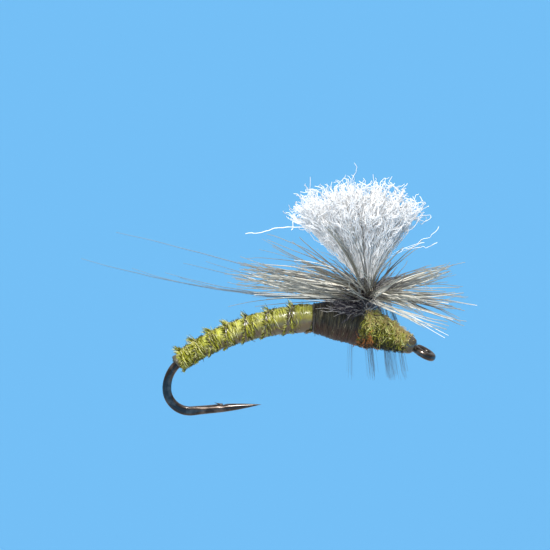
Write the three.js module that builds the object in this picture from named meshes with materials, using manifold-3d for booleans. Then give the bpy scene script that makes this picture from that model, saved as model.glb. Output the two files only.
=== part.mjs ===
// A parachute dry fly tied on a curved, down-eyed hook.
// Millimetres, +Z up, +X towards the hook's eye, and Y across the hook.
// The origin is the lowest point of the bend's centreline, where a vise holds the hook.

import * as THREE from "three";
import { mergeVertices } from "three/addons/utils/BufferGeometryUtils.js";
import Module from "manifold-3d";

const wasm = await Module();
wasm.setup();

const degrees = Math.PI / 180;

// ---------------------------------------------------------------- driving dimensions

// Clearance between pieces that touch on the real fly.
const gap = 0.02;

// Hook
const wireDiameter = 0.45;
const spearLength = 3.64;
const spearRise = 5.4; // degrees above level
const pointTaper = 2.5;
const pointRadius = 0.012;
const bendRadius = 1.2;
const forgedWidth = 0.36; // across the flats of the bend
const forgedRunOut = 0.8; // over which the flats fade into round wire
const shankArcs = [
  { radius: 1.79, endHeading: 36.2 },
  { radius: 10.7, endHeading: 25 },
  { radius: 13, endHeading: 4.4 },
  { radius: 7.8, endHeading: -13.3 },
  { radius: 14.6, endHeading: -28.5 },
];
const eyeBore = 0.55;
const eyeWireDiameter = 0.4;
const barbLength = 0.5;
const barbThickness = 0.2;
const barbFromPoint = 2.3;
const barbLift = 14; // degrees that the barb stands off the spear
const barbSink = 0.06; // how deep its root is in the wire

// Thread, and the lengths that each material takes up along the shank
const threadWidth = 0.2;
const threadGroove = 0.04; // depth between two turns
const foundationThickness = 0.05;
const headToEye = 0.14;
const headLength = 0.76;
const postToEye = 2.82;
const windingLength = 2.5;
const abdomenLength = 7.5;
const foundationTail = 0.12; // how far the foundation shows behind the abdomen

// Abdomen
const biotThickness = 0.085;
const biotRidge = 0.05;
const biotRearPitch = 0.72;
const biotFrontPitch = 1.3;
const biotEndTaper = 0.8; // of a turn, over which each end narrows to fill its corner
const abdomenSwell = 0.32; // underbody thickness at the front of the abdomen
const underbodyLeast = 0.03;
const tieInWrapsLength = 0.5;
const tieInWrapsThickness = 0.035;
const buttWrapsLength = 0.9;
const buttWrapsThickness = 0.26;

// Wing post
const postRadius = 0.33;
const postNeckHeight = 2.95; // above the shank's centreline
const buttThickness = 0.22;
const buttLength = 1.75;
const buttSpread = 75; // degrees to each side of the top
const lashingThickness = 0.08;
const lashingLength = 1.1;
const frontLashingLength = 0.45;
const tuftLength = 5.3;
const tuftSpread = 48; // degrees from the tuft's own axis
const tuftDepth = 0.72; // share of the spread that is left across the hook
const tuftLean = 4.5; // degrees towards the bend
const tuftUneven = 0.14; // share of the tuft's length by which strands differ
const strandBend = 0.4; // share of the strand over which it opens out from the neck
const strandCount = 40;
const strandRadius = 0.1;
const strandTipRadius = 0.045;

// Hackle
const postThreadThickness = 0.09;
const tieOffHeight = 0.12;
const tieOffThickness = 0.12;
const stemDiameter = 0.14;
const stemTurns = 4;
const stemPitch = 0.165;
const barbCount = 60;
const barbReach = 6.3;
const barbReachSpread = 1.3;
const barbReachSkew = 0.8; // longer towards the bend, and shorter towards the eye
const barbRootRadius = 0.05;
const barbTipRadius = 0.02;
const hackleTilt = 8; // degrees that the hackle drops towards the eye
const hackleRise = 5; // degrees above its own plane
const hackleFan = 13; // degrees to each side of that
const barbSag = 0.04; // share of a barb's length
const uprightReach = 4.8;
// Headings and rises of the barbs that stand up beside the tuft, in degrees.
const uprights = [[170, 48], [200, 42], [155, 36], [12, 44], [-28, 38], [100, 46], [-80, 50]];
// Where the trailing barbs end, from the post.
const trailingTips = [[-15.1, 3.4, 3.45], [-13.2, 2.6, 4.75], [-12.5, 3, 3], [-9.8, 2.2, 2.9]];
const trailingSag = 0.4;
// How far ahead of the post each hanging barb ends.
const hangingAheads = [-0.63, 0.05, 0.5, 0.75, 1.35, 1.75, 2.2];
const hangClear = 1.2; // between the hanging barbs and the thorax
const hangStagger = 0.15;
const hangSplay = 0.5;
const hangDrop = 3.15; // below the shank's centreline at the post

// Thorax and head
const windingRearThickness = 0.12;
const windingFrontThickness = 0.37;
const windingSwell = 0.55; // share of the winding over which it thickens
const dubbingPeakThickness = 0.46;
const dubbingFrontThickness = 0.26;
const dubbingTaper = 1.3; // above 1, the fullest part lasts longer
const headRearThickness = 0.22;
const headFrontThickness = 0.03;
const headTaper = 1.6;
const cementThickness = 0.03;
const cementLength = 0.5;

// Facets
const shankSides = 12;
const wireStep = 0.3;
const sleeveStep = 0.42;

// ---------------------------------------------------------------- sizes that follow

const wireRadius = wireDiameter / 2;
const foundationInner = wireRadius + gap;
const foundationOuter = foundationInner + foundationThickness;
const overFoundation = foundationOuter + gap;
const buttOuter = overFoundation + buttThickness;
const lashingInner = buttOuter + gap;
const lashingOuter = lashingInner + lashingThickness;
const buttWrapsOuter = overFoundation + buttWrapsThickness;
const windingInner = Math.max(lashingOuter, buttWrapsOuter) + gap;
const windingFrontRadius = windingInner + windingFrontThickness;
const frontLashingOuter = overFoundation + lashingThickness;
const dubbingBore = buttOuter + gap;
const dubbingPeakRadius = dubbingBore + dubbingPeakThickness;
const postThreadInner = postRadius + gap;
const postThreadOuter = postThreadInner + postThreadThickness;
const tieOffInner = postThreadOuter + gap;
const tieOffOuter = tieOffInner + tieOffThickness;
const stemCoilRadius = postThreadOuter + gap + stemDiameter / 2;
const eyeRingRadius = (eyeBore + eyeWireDiameter) / 2;

// ---------------------------------------------------------------- the hook's centreline

// The wire runs from the point, back along the spear, round the bend and up the shank to the eye.
// Headings are measured from +X towards +Z. The bend and the shank always turn the same way.
function chainOfArcs() {
  const start = (180 + spearRise) * degrees;
  const spearEnd = new THREE.Vector2(-Math.sin(start), 1 + Math.cos(start)).multiplyScalar(bendRadius);
  const point = spearEnd
    .clone()
    .sub(new THREE.Vector2(Math.cos(start), Math.sin(start)).multiplyScalar(spearLength));
  const pieces = [{ at: 0, length: spearLength, from: point, heading: start, radius: Infinity }];
  let at = spearLength;
  let from = spearEnd;
  let heading = start;
  for (const { radius, endHeading } of [{ radius: bendRadius, endHeading: 90 }, ...shankArcs]) {
    const length = radius * (heading - endHeading * degrees);
    const piece = { at, length, from, heading, radius };
    pieces.push(piece);
    at += length;
    from = alongPiece(piece, length).place;
    heading = endHeading * degrees;
  }
  return { pieces, length: at };
}

function alongPiece({ from, heading, radius }, distance) {
  if (radius === Infinity) {
    const run = new THREE.Vector2(Math.cos(heading), Math.sin(heading)).multiplyScalar(distance);
    return { place: from.clone().add(run), heading };
  }
  const turned = heading - distance / radius;
  const place = new THREE.Vector2(
    from.x + radius * (Math.sin(heading) - Math.sin(turned)),
    from.y + radius * (Math.cos(turned) - Math.cos(heading)),
  );
  return { place, heading: turned };
}

const hookLine = chainOfArcs();

// The point on the wire's centreline at a distance from the hook's point, with the directions there:
// forward along the wire, out from the shank's top, and across the hook.
function hookFrame(station) {
  const piece = hookLine.pieces.findLast((p) => p.at <= station) ?? hookLine.pieces[0];
  const { place, heading } = alongPiece(piece, station - piece.at);
  return {
    place: new THREE.Vector3(place.x, 0, place.y),
    heading,
    forward: new THREE.Vector3(Math.cos(heading), 0, Math.sin(heading)),
    up: new THREE.Vector3(-Math.sin(heading), 0, Math.cos(heading)),
    across: new THREE.Vector3(0, 1, 0),
  };
}

// Stations along the wire, measured from the hook's point.
const eyeStation = hookLine.length;
const headFront = eyeStation - headToEye;
const headRear = headFront - headLength;
const postStation = eyeStation - postToEye;
const dubbingRear = postStation - postRadius;
const dubbingFront = headRear - gap;
const windingFront = dubbingRear - gap;
const windingRear = windingFront - windingLength;
const abdomenFront = windingRear - gap;
const abdomenRear = abdomenFront - abdomenLength;
const foundationRear = abdomenRear - foundationTail;
const frontLashingRear = postStation + postRadius + gap;
const frontLashingFront = frontLashingRear + frontLashingLength;

// ---------------------------------------------------------------- helpers

// A geometry with only positions, its shared vertices merged.
function closedSurface(geometry) {
  geometry.deleteAttribute("normal");
  geometry.deleteAttribute("uv");
  return mergeVertices(geometry, 1e-5);
}

function solidOf(geometry) {
  return new wasm.Manifold(
    new wasm.Mesh({
      numProp: 3,
      vertProperties: geometry.attributes.position.array,
      triVerts: new Uint32Array(geometry.index.array),
    }),
  );
}

function geometryOf(solid) {
  const { vertProperties, triVerts } = solid.getMesh();
  const geometry = new THREE.BufferGeometry();
  geometry.setAttribute("position", new THREE.BufferAttribute(vertProperties, 3));
  geometry.setIndex(new THREE.BufferAttribute(triVerts, 1));
  geometry.computeVertexNormals();
  return geometry;
}

function movedVertices(geometry, move) {
  const position = geometry.attributes.position;
  const vertex = new THREE.Vector3();
  for (let i = 0; i < position.count; i++) {
    move(vertex.fromBufferAttribute(position, i));
    position.setXYZ(i, vertex.x, vertex.y, vertex.z);
  }
  geometry.computeVertexNormals();
  return geometry;
}

// Bends a geometry modelled about the X axis, its x a station, onto the hook's centreline.
function ontoHook(geometry) {
  return movedVertices(geometry, (vertex) => {
    const { place, up, across } = hookFrame(vertex.x);
    vertex.copy(place.addScaledVector(up, vertex.z).addScaledVector(across, vertex.y));
  });
}

// A piece turned about the shank, its closed outline given as [station, radius] pairs that run
// along the outside to the front and back along the inside.
function turnedOnShank(outline) {
  const points = outline.map(([station, radius]) => new THREE.Vector2(radius, station));
  points.push(points[0].clone());
  const lathe = closedSurface(new THREE.LatheGeometry(points, shankSides));
  return ontoHook(lathe.rotateZ(-Math.PI / 2).rotateX(Math.PI / shankSides));
}

function stationsBetween(from, to, step = sleeveStep) {
  const count = Math.max(1, Math.round((to - from) / step));
  return Array.from({ length: count + 1 }, (_, i) => from + ((to - from) * i) / count);
}

// A sleeve of thread turns side by side. Its outside has one ridge for each turn.
function threadSleeve(from, to, inner, outerAt) {
  const turns = Math.max(2, Math.round((to - from) / threadWidth));
  const outside = stationsBetween(from, to, (to - from) / turns / 2).map((station, i) => {
    const groove = i % 2 ? 0 : Math.min(threadGroove, (outerAt(station) - inner) / 2);
    return [station, outerAt(station) - groove];
  });
  const inside = stationsBetween(from, to).map((station) => [station, inner]);
  return turnedOnShank([...outside, ...inside.reverse()]);
}

function sleeve(from, to, innerAt, outerAt, step = sleeveStep) {
  const stations = stationsBetween(from, to, step);
  const outside = stations.map((station) => [station, outerAt(station)]);
  const inside = stations.map((station) => [station, innerAt(station)]);
  return turnedOnShank([...outside, ...inside.reverse()]);
}

// A block bent round the shank. The place function gives each corner's station, radius and angle
// from the top, for how far it is through the block: along, outwards and around, each 0 to 1.
function bentBlock(alongSteps, aroundSteps, place) {
  const block = closedSurface(new THREE.BoxGeometry(1, 1, 1, alongSteps, 1, aroundSteps));
  movedVertices(block, (vertex) => {
    const { station, radius, angle } = place(vertex.x + 0.5, vertex.y + 0.5, vertex.z + 0.5);
    vertex.set(station, -radius * Math.sin(angle), radius * Math.cos(angle));
  });
  return ontoHook(block);
}

// A closed tube along any curve, its radius given for each share of the way, 0 to 1.
function taperedTube(curve, radiusAt, sides, steps) {
  const tube = closedSurface(new THREE.CylinderGeometry(1, 1, 1, sides, steps));
  const frames = curve.computeFrenetFrames(steps, false);
  return movedVertices(tube, (vertex) => {
    const ring = Math.round((vertex.y + 0.5) * steps);
    const radius = radiusAt(ring / steps);
    const { x, z } = vertex;
    vertex
      .copy(curve.getPointAt(ring / steps))
      .addScaledVector(frames.normals[ring], x * radius)
      .addScaledVector(frames.binormals[ring], -z * radius);
  });
}

function scatter(index, salt) {
  const wave = Math.sin(index * 12.9898 + salt * 78.233) * 43758.5453;
  return wave - Math.floor(wave);
}

const mix = THREE.MathUtils.lerp;
const ease = THREE.MathUtils.smoothstep;

function named(name, geometry, material) {
  const mesh = new THREE.Mesh(geometry, material);
  mesh.name = name;
  return mesh;
}

// ---------------------------------------------------------------- materials

function finish(color, roughness, metalness = 0) {
  return new THREE.MeshStandardMaterial({ color, roughness, metalness });
}

const blackNickel = finish(0x3a3632, 0.28, 1);
const oliveThread = finish(0x8d9a2c, 0.5);
const paleFloss = finish(0xb9b64e, 0.6);
const oliveBiot = finish(0x9aa632, 0.35);
const darkThread = finish(0x3a342c, 0.55);
const whiteYarn = finish(0xf2f4f5, 0.5);
const greyThread = finish(0x4d4a58, 0.55);
const dunFeather = finish(0x7b7a72, 0.4);
const oliveDubbing = finish(0x8a8e2a, 0.85);
const clearCement = finish(0xc9b878, 0.1);

// ---------------------------------------------------------------- hook

function hookWire() {
  const steps = Math.round(eyeStation / wireStep);
  const wire = closedSurface(new THREE.CylinderGeometry(1, 1, 1, shankSides, steps));
  wire.rotateZ(-Math.PI / 2).rotateX(Math.PI / shankSides);
  const bendEnd = spearLength + bendRadius * (90 + spearRise) * degrees;
  return ontoHook(
    movedVertices(wire, (vertex) => {
      const station = (vertex.x + 0.5) * eyeStation;
      const sharpening = Math.sin((Math.min(1, station / pointTaper) * Math.PI) / 2);
      const toEye = ease(station, headRear, eyeStation);
      const full = mix(wireRadius, eyeWireDiameter / 2, toEye);
      const radius = Math.max(pointRadius, full * sharpening);
      const fadingIn = ease(station, spearLength - forgedRunOut, spearLength);
      const forging = fadingIn * (1 - ease(station, bendEnd, bendEnd + forgedRunOut));
      const half = mix(radius, Math.min(radius, forgedWidth / 2), forging);
      vertex.set(
        station,
        THREE.MathUtils.clamp(vertex.y * radius, -half, half),
        vertex.z * radius,
      );
    }),
  );
}

function eyeRing() {
  const ring = closedSurface(new THREE.TorusGeometry(eyeRingRadius, eyeWireDiameter / 2, 8, 24));
  const { place, forward, up, across } = hookFrame(eyeStation);
  const seat = new THREE.Matrix4().makeBasis(forward, across, up);
  seat.setPosition(place.clone().addScaledVector(forward, eyeRingRadius));
  return ring.applyMatrix4(seat);
}

// A sliver raised from the inner side of the spear, its tip towards the bend.
function spearBarb() {
  const barb = closedSurface(new THREE.ConeGeometry(barbThickness / 2, barbLength, 5));
  const { place, forward, up } = hookFrame(barbFromPoint);
  const inward = up.clone().negate();
  const lean = forward
    .clone()
    .multiplyScalar(Math.cos(barbLift * degrees))
    .addScaledVector(inward, Math.sin(barbLift * degrees));
  const turn = new THREE.Quaternion().setFromUnitVectors(new THREE.Vector3(0, 1, 0), lean);
  barb.applyQuaternion(turn);
  const root = place.clone().addScaledVector(inward, wireRadius - barbSink);
  return barb.translate(root.x, root.y, root.z);
}

function hook() {
  const solid = solidOf(hookWire()).add(solidOf(eyeRing())).add(solidOf(spearBarb()));
  return named("hook", geometryOf(solid), blackNickel);
}

// ---------------------------------------------------------------- abdomen

function shareOfAbdomen(station) {
  return THREE.MathUtils.clamp((station - abdomenRear) / abdomenLength, 0, 1);
}

// Where the biot sits: on the underbody, which swells towards the thorax.
function biotInner(station) {
  return overFoundation + abdomenSwell * shareOfAbdomen(station);
}

function threadFoundation() {
  const outside = () => foundationOuter;
  const geometry = sleeve(foundationRear, headFront, () => foundationInner, outside);
  return named("thread_foundation", geometry, oliveThread);
}

function abdomenUnderbody() {
  const thickEnough = abdomenRear + (abdomenLength * (underbodyLeast + gap)) / abdomenSwell;
  const from = Math.max(thickEnough, abdomenRear + tieInWrapsLength + gap);
  const outside = (station) => biotInner(station) - gap;
  const geometry = sleeve(from, abdomenFront, () => overFoundation, outside);
  return named("abdomen_underbody", geometry, paleFloss);
}

// One long quill from a feather's leading edge, wound forwards in open turns. Each turn's rear
// edge stands proud of the turn behind it.
function abdomenBiot() {
  const turns = abdomenLength / ((biotRearPitch + biotFrontPitch) / 2);
  const stationAt = (turn) =>
    abdomenRear + biotRearPitch * turn + ((biotFrontPitch - biotRearPitch) * turn ** 2) / (2 * turns);
  const geometry = bentBlock(1, Math.round(turns * 16), (along, outwards, around) => {
    const turn = mix(turns - 1 + biotEndTaper, -biotEndTaper, around);
    const rear = Math.max(stationAt(turn), abdomenRear);
    const front = Math.min(stationAt(turn + 1) - gap, abdomenFront);
    const station = mix(rear, front, along);
    const proud = along < 0.5 ? biotRidge : 0;
    const radius = biotInner(station) + tieInWrapsThickness + outwards * (biotThickness + proud);
    return { station, radius, angle: -turn * 2 * Math.PI };
  });
  return named("abdomen_biot", geometry, oliveBiot);
}

function biotTieInWraps() {
  const outside = () => overFoundation + tieInWrapsThickness - gap;
  const to = abdomenRear + tieInWrapsLength;
  const geometry = sleeve(abdomenRear, to, () => overFoundation, outside);
  return named("biot_tie_in_wraps", geometry, oliveThread);
}

function biotButtWraps() {
  const from = windingRear + gap;
  const geometry = threadSleeve(from, from + buttWrapsLength, overFoundation, () => buttWrapsOuter);
  return named("biot_butt_wraps", geometry, oliveThread);
}

// ---------------------------------------------------------------- wing post

const postFoot = hookFrame(postStation).place;

// Heights in the post's own frame, measured from the shank's centreline.
const shankSlope = Math.tan(Math.abs(hookFrame(postStation).heading));
const postClear = Math.max(windingFrontRadius, dubbingPeakRadius) * Math.hypot(1, shankSlope);
const tieOffBottom = postClear + tieOffOuter * shankSlope + gap;
const coilBottom = tieOffBottom + tieOffHeight + gap + stemDiameter / 2;
const neckHeight = Math.max(postNeckHeight, coilBottom + (stemTurns + 1) * stemPitch);

// An upright cylinder on the post's axis.
function postCylinder(radius, bottom, top) {
  const cylinder = closedSurface(new THREE.CylinderGeometry(radius, radius, top - bottom, shankSides));
  return cylinder
    .rotateX(Math.PI / 2)
    .translate(postFoot.x, postFoot.y, postFoot.z + (bottom + top) / 2);
}

// A sleeve turned about the post's axis with one ridge for each turn of thread.
function postSleeve(inner, outer, bottom, top) {
  const turns = Math.max(1, Math.round((top - bottom) / threadWidth));
  const outside = stationsBetween(bottom, top, (top - bottom) / turns / 2).map((height, i) => {
    return new THREE.Vector2(outer - (i % 2 ? 0 : threadGroove), height);
  });
  const outline = [...outside, new THREE.Vector2(inner, top), new THREE.Vector2(inner, bottom)];
  outline.push(outside[0].clone());
  return closedSurface(new THREE.LatheGeometry(outline, shankSides)).rotateX(Math.PI / 2);
}

// The hole that the post leaves in anything it passes through.
function clearOfPost(geometry) {
  const hole = postCylinder(postRadius + gap, 0, neckHeight);
  return geometryOf(solidOf(geometry).subtract(solidOf(hole)));
}

// The tuft's strands end on a dome that is rounder along the hook than across it.
function strandTip(index) {
  const share = (index + 0.5) / strandCount;
  const polar = tuftSpread * degrees * Math.sqrt(share);
  const around = index * Math.PI * (3 - Math.sqrt(5));
  const reach = tuftLength * (1 - tuftUneven * scatter(index, 1));
  const out = Math.sin(polar) * reach;
  const tip = new THREE.Vector3(
    out * Math.cos(around),
    out * Math.sin(around) * tuftDepth,
    Math.cos(polar) * reach,
  );
  return tip.applyAxisAngle(new THREE.Vector3(0, 1, 0), -tuftLean * degrees);
}

function tuftStrand(index) {
  const neck = postFoot.clone().add(new THREE.Vector3(0, 0, neckHeight));
  const tip = strandTip(index);
  const side = new THREE.Vector3(tip.x, tip.y, 0).normalize();
  const root = neck.clone().addScaledVector(side, postRadius / 2);
  root.z -= strandRadius;
  const middle = neck.clone().addScaledVector(side, postRadius).addScaledVector(tip, strandBend);
  const path = new THREE.QuadraticBezierCurve3(root, middle, neck.clone().add(tip));
  return taperedTube(path, (share) => mix(strandRadius, strandTipRadius, share), 4, 4);
}

function wingPost() {
  const alongSteps = Math.ceil(buttLength / sleeveStep);
  const aroundSteps = Math.round((buttSpread / 180) * shankSides);
  const foot = bentBlock(alongSteps, aroundSteps, (along, outwards, around) => ({
    station: mix(postStation + postRadius - buttLength, postStation + postRadius, along),
    radius: mix(overFoundation, buttOuter, outwards),
    angle: mix(-buttSpread, buttSpread, around) * degrees,
  }));
  const upright = postCylinder(postRadius, (overFoundation + buttOuter) / 2, neckHeight);
  let solid = solidOf(foot).add(solidOf(upright));
  for (let i = 0; i < strandCount; i++) {
    solid = solid.add(solidOf(tuftStrand(i)));
  }
  return named("wing_post", geometryOf(solid), whiteYarn);
}

function wingLashing() {
  const from = windingFront - lashingLength;
  const geometry = threadSleeve(from, windingFront, lashingInner, () => lashingOuter);
  return named("wing_lashing_rear", clearOfPost(geometry), oliveThread);
}

function wingLashingFront() {
  const outside = () => frontLashingOuter;
  const geometry = threadSleeve(frontLashingRear, frontLashingFront, overFoundation, outside);
  return named("wing_lashing_front", geometry, oliveThread);
}

function postBaseWraps() {
  const top = neckHeight - strandRadius;
  const geometry = postSleeve(postThreadInner, postThreadOuter, tieOffBottom, top);
  return named("post_base_wraps", geometry, greyThread);
}

function hackleTieOffWraps() {
  const geometry = postSleeve(tieOffInner, tieOffOuter, tieOffBottom, tieOffBottom + tieOffHeight);
  return named("hackle_tie_off_wraps", geometry, greyThread);
}

// ---------------------------------------------------------------- hackle

class StemCoil extends THREE.Curve {
  getPoint(share, target = new THREE.Vector3()) {
    const angle = -share * stemTurns * 2 * Math.PI;
    return target.set(
      stemCoilRadius * Math.cos(angle),
      stemCoilRadius * Math.sin(angle),
      coilBottom + share * stemTurns * stemPitch,
    );
  }
}

// A barb leaves the coil level and straightens to its own direction.
function barbAlong(rootShare, heading, rise, reach) {
  const root = new StemCoil().getPoint(rootShare);
  const run = new THREE.Vector3(
    Math.cos(heading) * Math.cos(rise),
    Math.sin(heading) * Math.cos(rise),
    Math.sin(rise),
  );
  const middle = root.clone().addScaledVector(run, reach / 2);
  middle.z -= barbSag * reach;
  return taperedBarb(root, middle, root.clone().addScaledVector(run, reach));
}

function taperedBarb(root, middle, tip) {
  const path = new THREE.QuadraticBezierCurve3(root, middle, tip);
  return taperedTube(path, (share) => mix(barbRootRadius, barbTipRadius, share), 3, 3);
}

// The share of the coil that faces a heading, on the turn nearest to the wanted one.
function coilShareFacing(heading, turn) {
  const share = (turn - heading / (2 * Math.PI)) / stemTurns;
  return share - Math.floor(share);
}

function diskBarbs() {
  return Array.from({ length: barbCount }, (_, i) => {
    const heading = (i * 2 * Math.PI) / barbCount;
    const tilt = -hackleTilt * Math.cos(heading);
    const rise = (tilt + hackleRise + hackleFan * (2 * scatter(i, 2) - 1)) * degrees;
    const skew = barbReachSkew * Math.cos(heading);
    const reach = barbReach - skew - barbReachSpread * scatter(i, 3);
    return barbAlong(coilShareFacing(heading, i % stemTurns), heading, rise, reach);
  });
}

// Barbs that stand up beside the tuft.
function uprightBarbs() {
  return uprights.map(([heading, rise]) => {
    const share = coilShareFacing(heading * degrees, stemTurns - 1);
    return barbAlong(share, heading * degrees, rise * degrees, uprightReach);
  });
}

// Long soft barbs from the stem's base that trail back over the abdomen.
function trailingBarbs() {
  return trailingTips.map(([x, y, z], i) => {
    const tip = new THREE.Vector3(x, y, z);
    const root = new StemCoil().getPoint(coilShareFacing(Math.PI, i % 2));
    const middle = root.clone().lerp(tip, 0.5);
    middle.z -= trailingSag;
    return taperedBarb(root, middle, tip);
  });
}

// Barbs that the thread has pulled down behind the thorax.
function hangingBarbs() {
  return hangingAheads.map((ahead, i) => {
    const root = new StemCoil().getPoint(coilShareFacing(Math.PI / 2, i % 2));
    const out = windingFrontRadius + hangClear + hangStagger * (i % 3);
    const middle = new THREE.Vector3(ahead / 2, out, root.z);
    const tip = new THREE.Vector3(ahead, out + hangSplay, -hangDrop - hangStagger * (i % 2));
    return taperedBarb(root, middle, tip);
  });
}

function hackle() {
  const stem = taperedTube(new StemCoil(), () => stemDiameter / 2, 5, stemTurns * 12);
  let solid = solidOf(stem);
  for (const barb of [...diskBarbs(), ...uprightBarbs(), ...trailingBarbs(), ...hangingBarbs()]) {
    solid = solid.add(solidOf(barb));
  }
  return named("hackle", geometryOf(solid), dunFeather);
}

// ---------------------------------------------------------------- thorax and head

function thoraxWinding() {
  const outside = (station) => {
    const swell = ease((station - windingRear) / windingLength, 0, windingSwell);
    return windingInner + mix(windingRearThickness, windingFrontThickness, swell);
  };
  const geometry = threadSleeve(windingRear, windingFront, windingInner, outside);
  return named("thorax_winding", clearOfPost(geometry), darkThread);
}

function thoraxDubbing() {
  const step = Math.min(frontLashingFront + gap, dubbingFront - gap);
  const frontRadius = overFoundation + dubbingFrontThickness;
  const outside = stationsBetween(dubbingRear, dubbingFront).map((station) => {
    const share = (station - dubbingRear) / (dubbingFront - dubbingRear);
    return [station, mix(dubbingPeakRadius, frontRadius, share ** dubbingTaper)];
  });
  const narrowBore = stationsBetween(step, dubbingFront).map((station) => [station, overFoundation]);
  const wideBore = stationsBetween(dubbingRear, step).map((station) => [station, dubbingBore]);
  const outline = [...outside, ...narrowBore.reverse(), ...wideBore.reverse()];
  return named("thorax_dubbing", clearOfPost(turnedOnShank(outline)), oliveDubbing);
}

function headOuter(station) {
  const share = (station - headRear) / headLength;
  return overFoundation + mix(headRearThickness, headFrontThickness, share ** headTaper);
}

function threadHead() {
  const geometry = threadSleeve(headRear, headFront, overFoundation, headOuter);
  return named("thread_head", geometry, oliveThread);
}

function headCement() {
  const innerAt = (station) => headOuter(station) + gap;
  const outerAt = (station) => innerAt(station) + cementThickness;
  const geometry = sleeve(headFront - cementLength, headFront, innerAt, outerAt, threadWidth / 2);
  return named("head_cement", geometry, clearCement);
}

// ---------------------------------------------------------------- assembly

function dryFly() {
  const onPost = new THREE.Group();
  onPost.position.copy(postFoot);
  onPost.add(postBaseWraps(), hackleTieOffWraps(), hackle());

  const fly = new THREE.Group();
  fly.add(
    hook(),
    threadFoundation(),
    biotTieInWraps(),
    abdomenUnderbody(),
    abdomenBiot(),
    biotButtWraps(),
    wingPost(),
    wingLashing(),
    wingLashingFront(),
    thoraxWinding(),
    thoraxDubbing(),
    threadHead(),
    headCement(),
    onPost,
  );
  return fly;
}

export default dryFly();
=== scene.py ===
"""A parachute dry fly on a curved, down-eyed hook: the finished pieces, built on its CAD frame.

Sizes are in millimetres until a piece's mesh is made, and then in metres.
"""
import math

import bpy
import numpy as np
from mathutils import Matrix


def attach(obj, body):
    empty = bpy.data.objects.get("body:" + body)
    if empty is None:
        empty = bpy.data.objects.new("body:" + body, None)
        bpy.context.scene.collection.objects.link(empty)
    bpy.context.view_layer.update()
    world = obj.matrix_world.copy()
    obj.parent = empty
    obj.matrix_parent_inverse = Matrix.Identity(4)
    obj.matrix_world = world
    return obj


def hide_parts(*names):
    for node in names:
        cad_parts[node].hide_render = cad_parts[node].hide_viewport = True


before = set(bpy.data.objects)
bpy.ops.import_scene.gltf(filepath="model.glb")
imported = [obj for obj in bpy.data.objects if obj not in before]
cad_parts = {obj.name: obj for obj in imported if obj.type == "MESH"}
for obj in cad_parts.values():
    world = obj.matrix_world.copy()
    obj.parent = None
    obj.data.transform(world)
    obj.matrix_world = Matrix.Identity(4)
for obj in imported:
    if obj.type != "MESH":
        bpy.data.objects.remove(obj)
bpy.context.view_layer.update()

MM = 0.001
TURN = 2 * math.pi

# ---------------------------------------------------------------- sizes, as the CAD part has them

SPEAR_LENGTH = 3.64
SPEAR_RISE = 5.4
WIRE_RADIUS = 0.225
FORGED_HALF = 0.18
# Each arc of the wire after the spear: its radius, and the heading in degrees that it ends on.
WIRE_ARCS = ((1.2, 90.0), (1.79, 36.2), (10.7, 25.0), (13.0, 4.4), (7.8, -13.3), (14.6, -28.5))
EYE_BORE = 0.55
EYE_WIRE_RADIUS = 0.2
EYE_LEAN = 5  # degrees that the eye is turned about the wire
POINT_TAPER = 2.5
BARB_STATION = 2.3

GAP = 0.02
HEAD_TO_EYE = 0.14
HEAD_LENGTH = 0.76
POST_TO_EYE = 2.82
WINDING_LENGTH = 2.5
ABDOMEN_LENGTH = 7.5
FOUNDATION_RADIUS = 0.295
POST_RADIUS = 0.33


# ---------------------------------------------------------------- the hook's centreline


def wire_runs():
    """The straight spear and each arc: where it starts along the wire, its start and its heading."""
    heading = math.radians(180 + SPEAR_RISE)
    bend = WIRE_ARCS[0][0]
    end = np.array([-bend * math.sin(heading), bend + bend * math.cos(heading)])
    start = end - SPEAR_LENGTH * np.array([math.cos(heading), math.sin(heading)])
    runs = [(0.0, start, heading, None)]
    station = SPEAR_LENGTH
    for radius, last in WIRE_ARCS:
        runs.append((station, end, heading, radius))
        turned = math.radians(last)
        reach = [math.sin(heading) - math.sin(turned), math.cos(turned) - math.cos(heading)]
        end = end + radius * np.array(reach)
        station += radius * (heading - turned)
        heading = turned
    return runs, station


WIRE_RUNS, EYE_STATION = wire_runs()

HEAD_FRONT = EYE_STATION - HEAD_TO_EYE
HEAD_REAR = HEAD_FRONT - HEAD_LENGTH
POST_STATION = EYE_STATION - POST_TO_EYE
DUBBING_REAR = POST_STATION - POST_RADIUS
DUBBING_FRONT = HEAD_REAR - GAP
WINDING_FRONT = DUBBING_REAR - GAP
WINDING_REAR = WINDING_FRONT - WINDING_LENGTH
ABDOMEN_FRONT = WINDING_REAR - GAP
ABDOMEN_REAR = ABDOMEN_FRONT - ABDOMEN_LENGTH


def on_wire(stations):
    """Places on the wire's centreline, with the forward and up directions there."""
    s = np.atleast_1d(np.asarray(stations, float))
    x, z, heading = np.zeros_like(s), np.zeros_like(s), np.zeros_like(s)
    for at, (x0, z0), first, radius in WIRE_RUNS:
        on = s >= at if at > 0 else np.ones_like(s, bool)
        run = s[on] - at
        if radius is None:
            heading[on] = first
            x[on] = x0 + run * math.cos(first)
            z[on] = z0 + run * math.sin(first)
        else:
            heading[on] = first - run / radius
            x[on] = x0 + radius * (math.sin(first) - np.sin(heading[on]))
            z[on] = z0 + radius * (np.cos(heading[on]) - math.cos(first))
    none = np.zeros_like(s)
    place = np.stack([x, none, z], 1)
    forward = np.stack([np.cos(heading), none, np.sin(heading)], 1)
    up = np.stack([-np.sin(heading), none, np.cos(heading)], 1)
    return place, forward, up


def round_wire(stations, radii, angles):
    """Points round the wire; angles run from the top towards the near side."""
    place, _, up = on_wire(stations)
    radii, angles = np.broadcast_to(radii, len(place)), np.broadcast_to(angles, len(place))
    points = place + up * (radii * np.cos(angles))[:, None]
    points[:, 1] -= radii * np.sin(angles)
    return points


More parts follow.
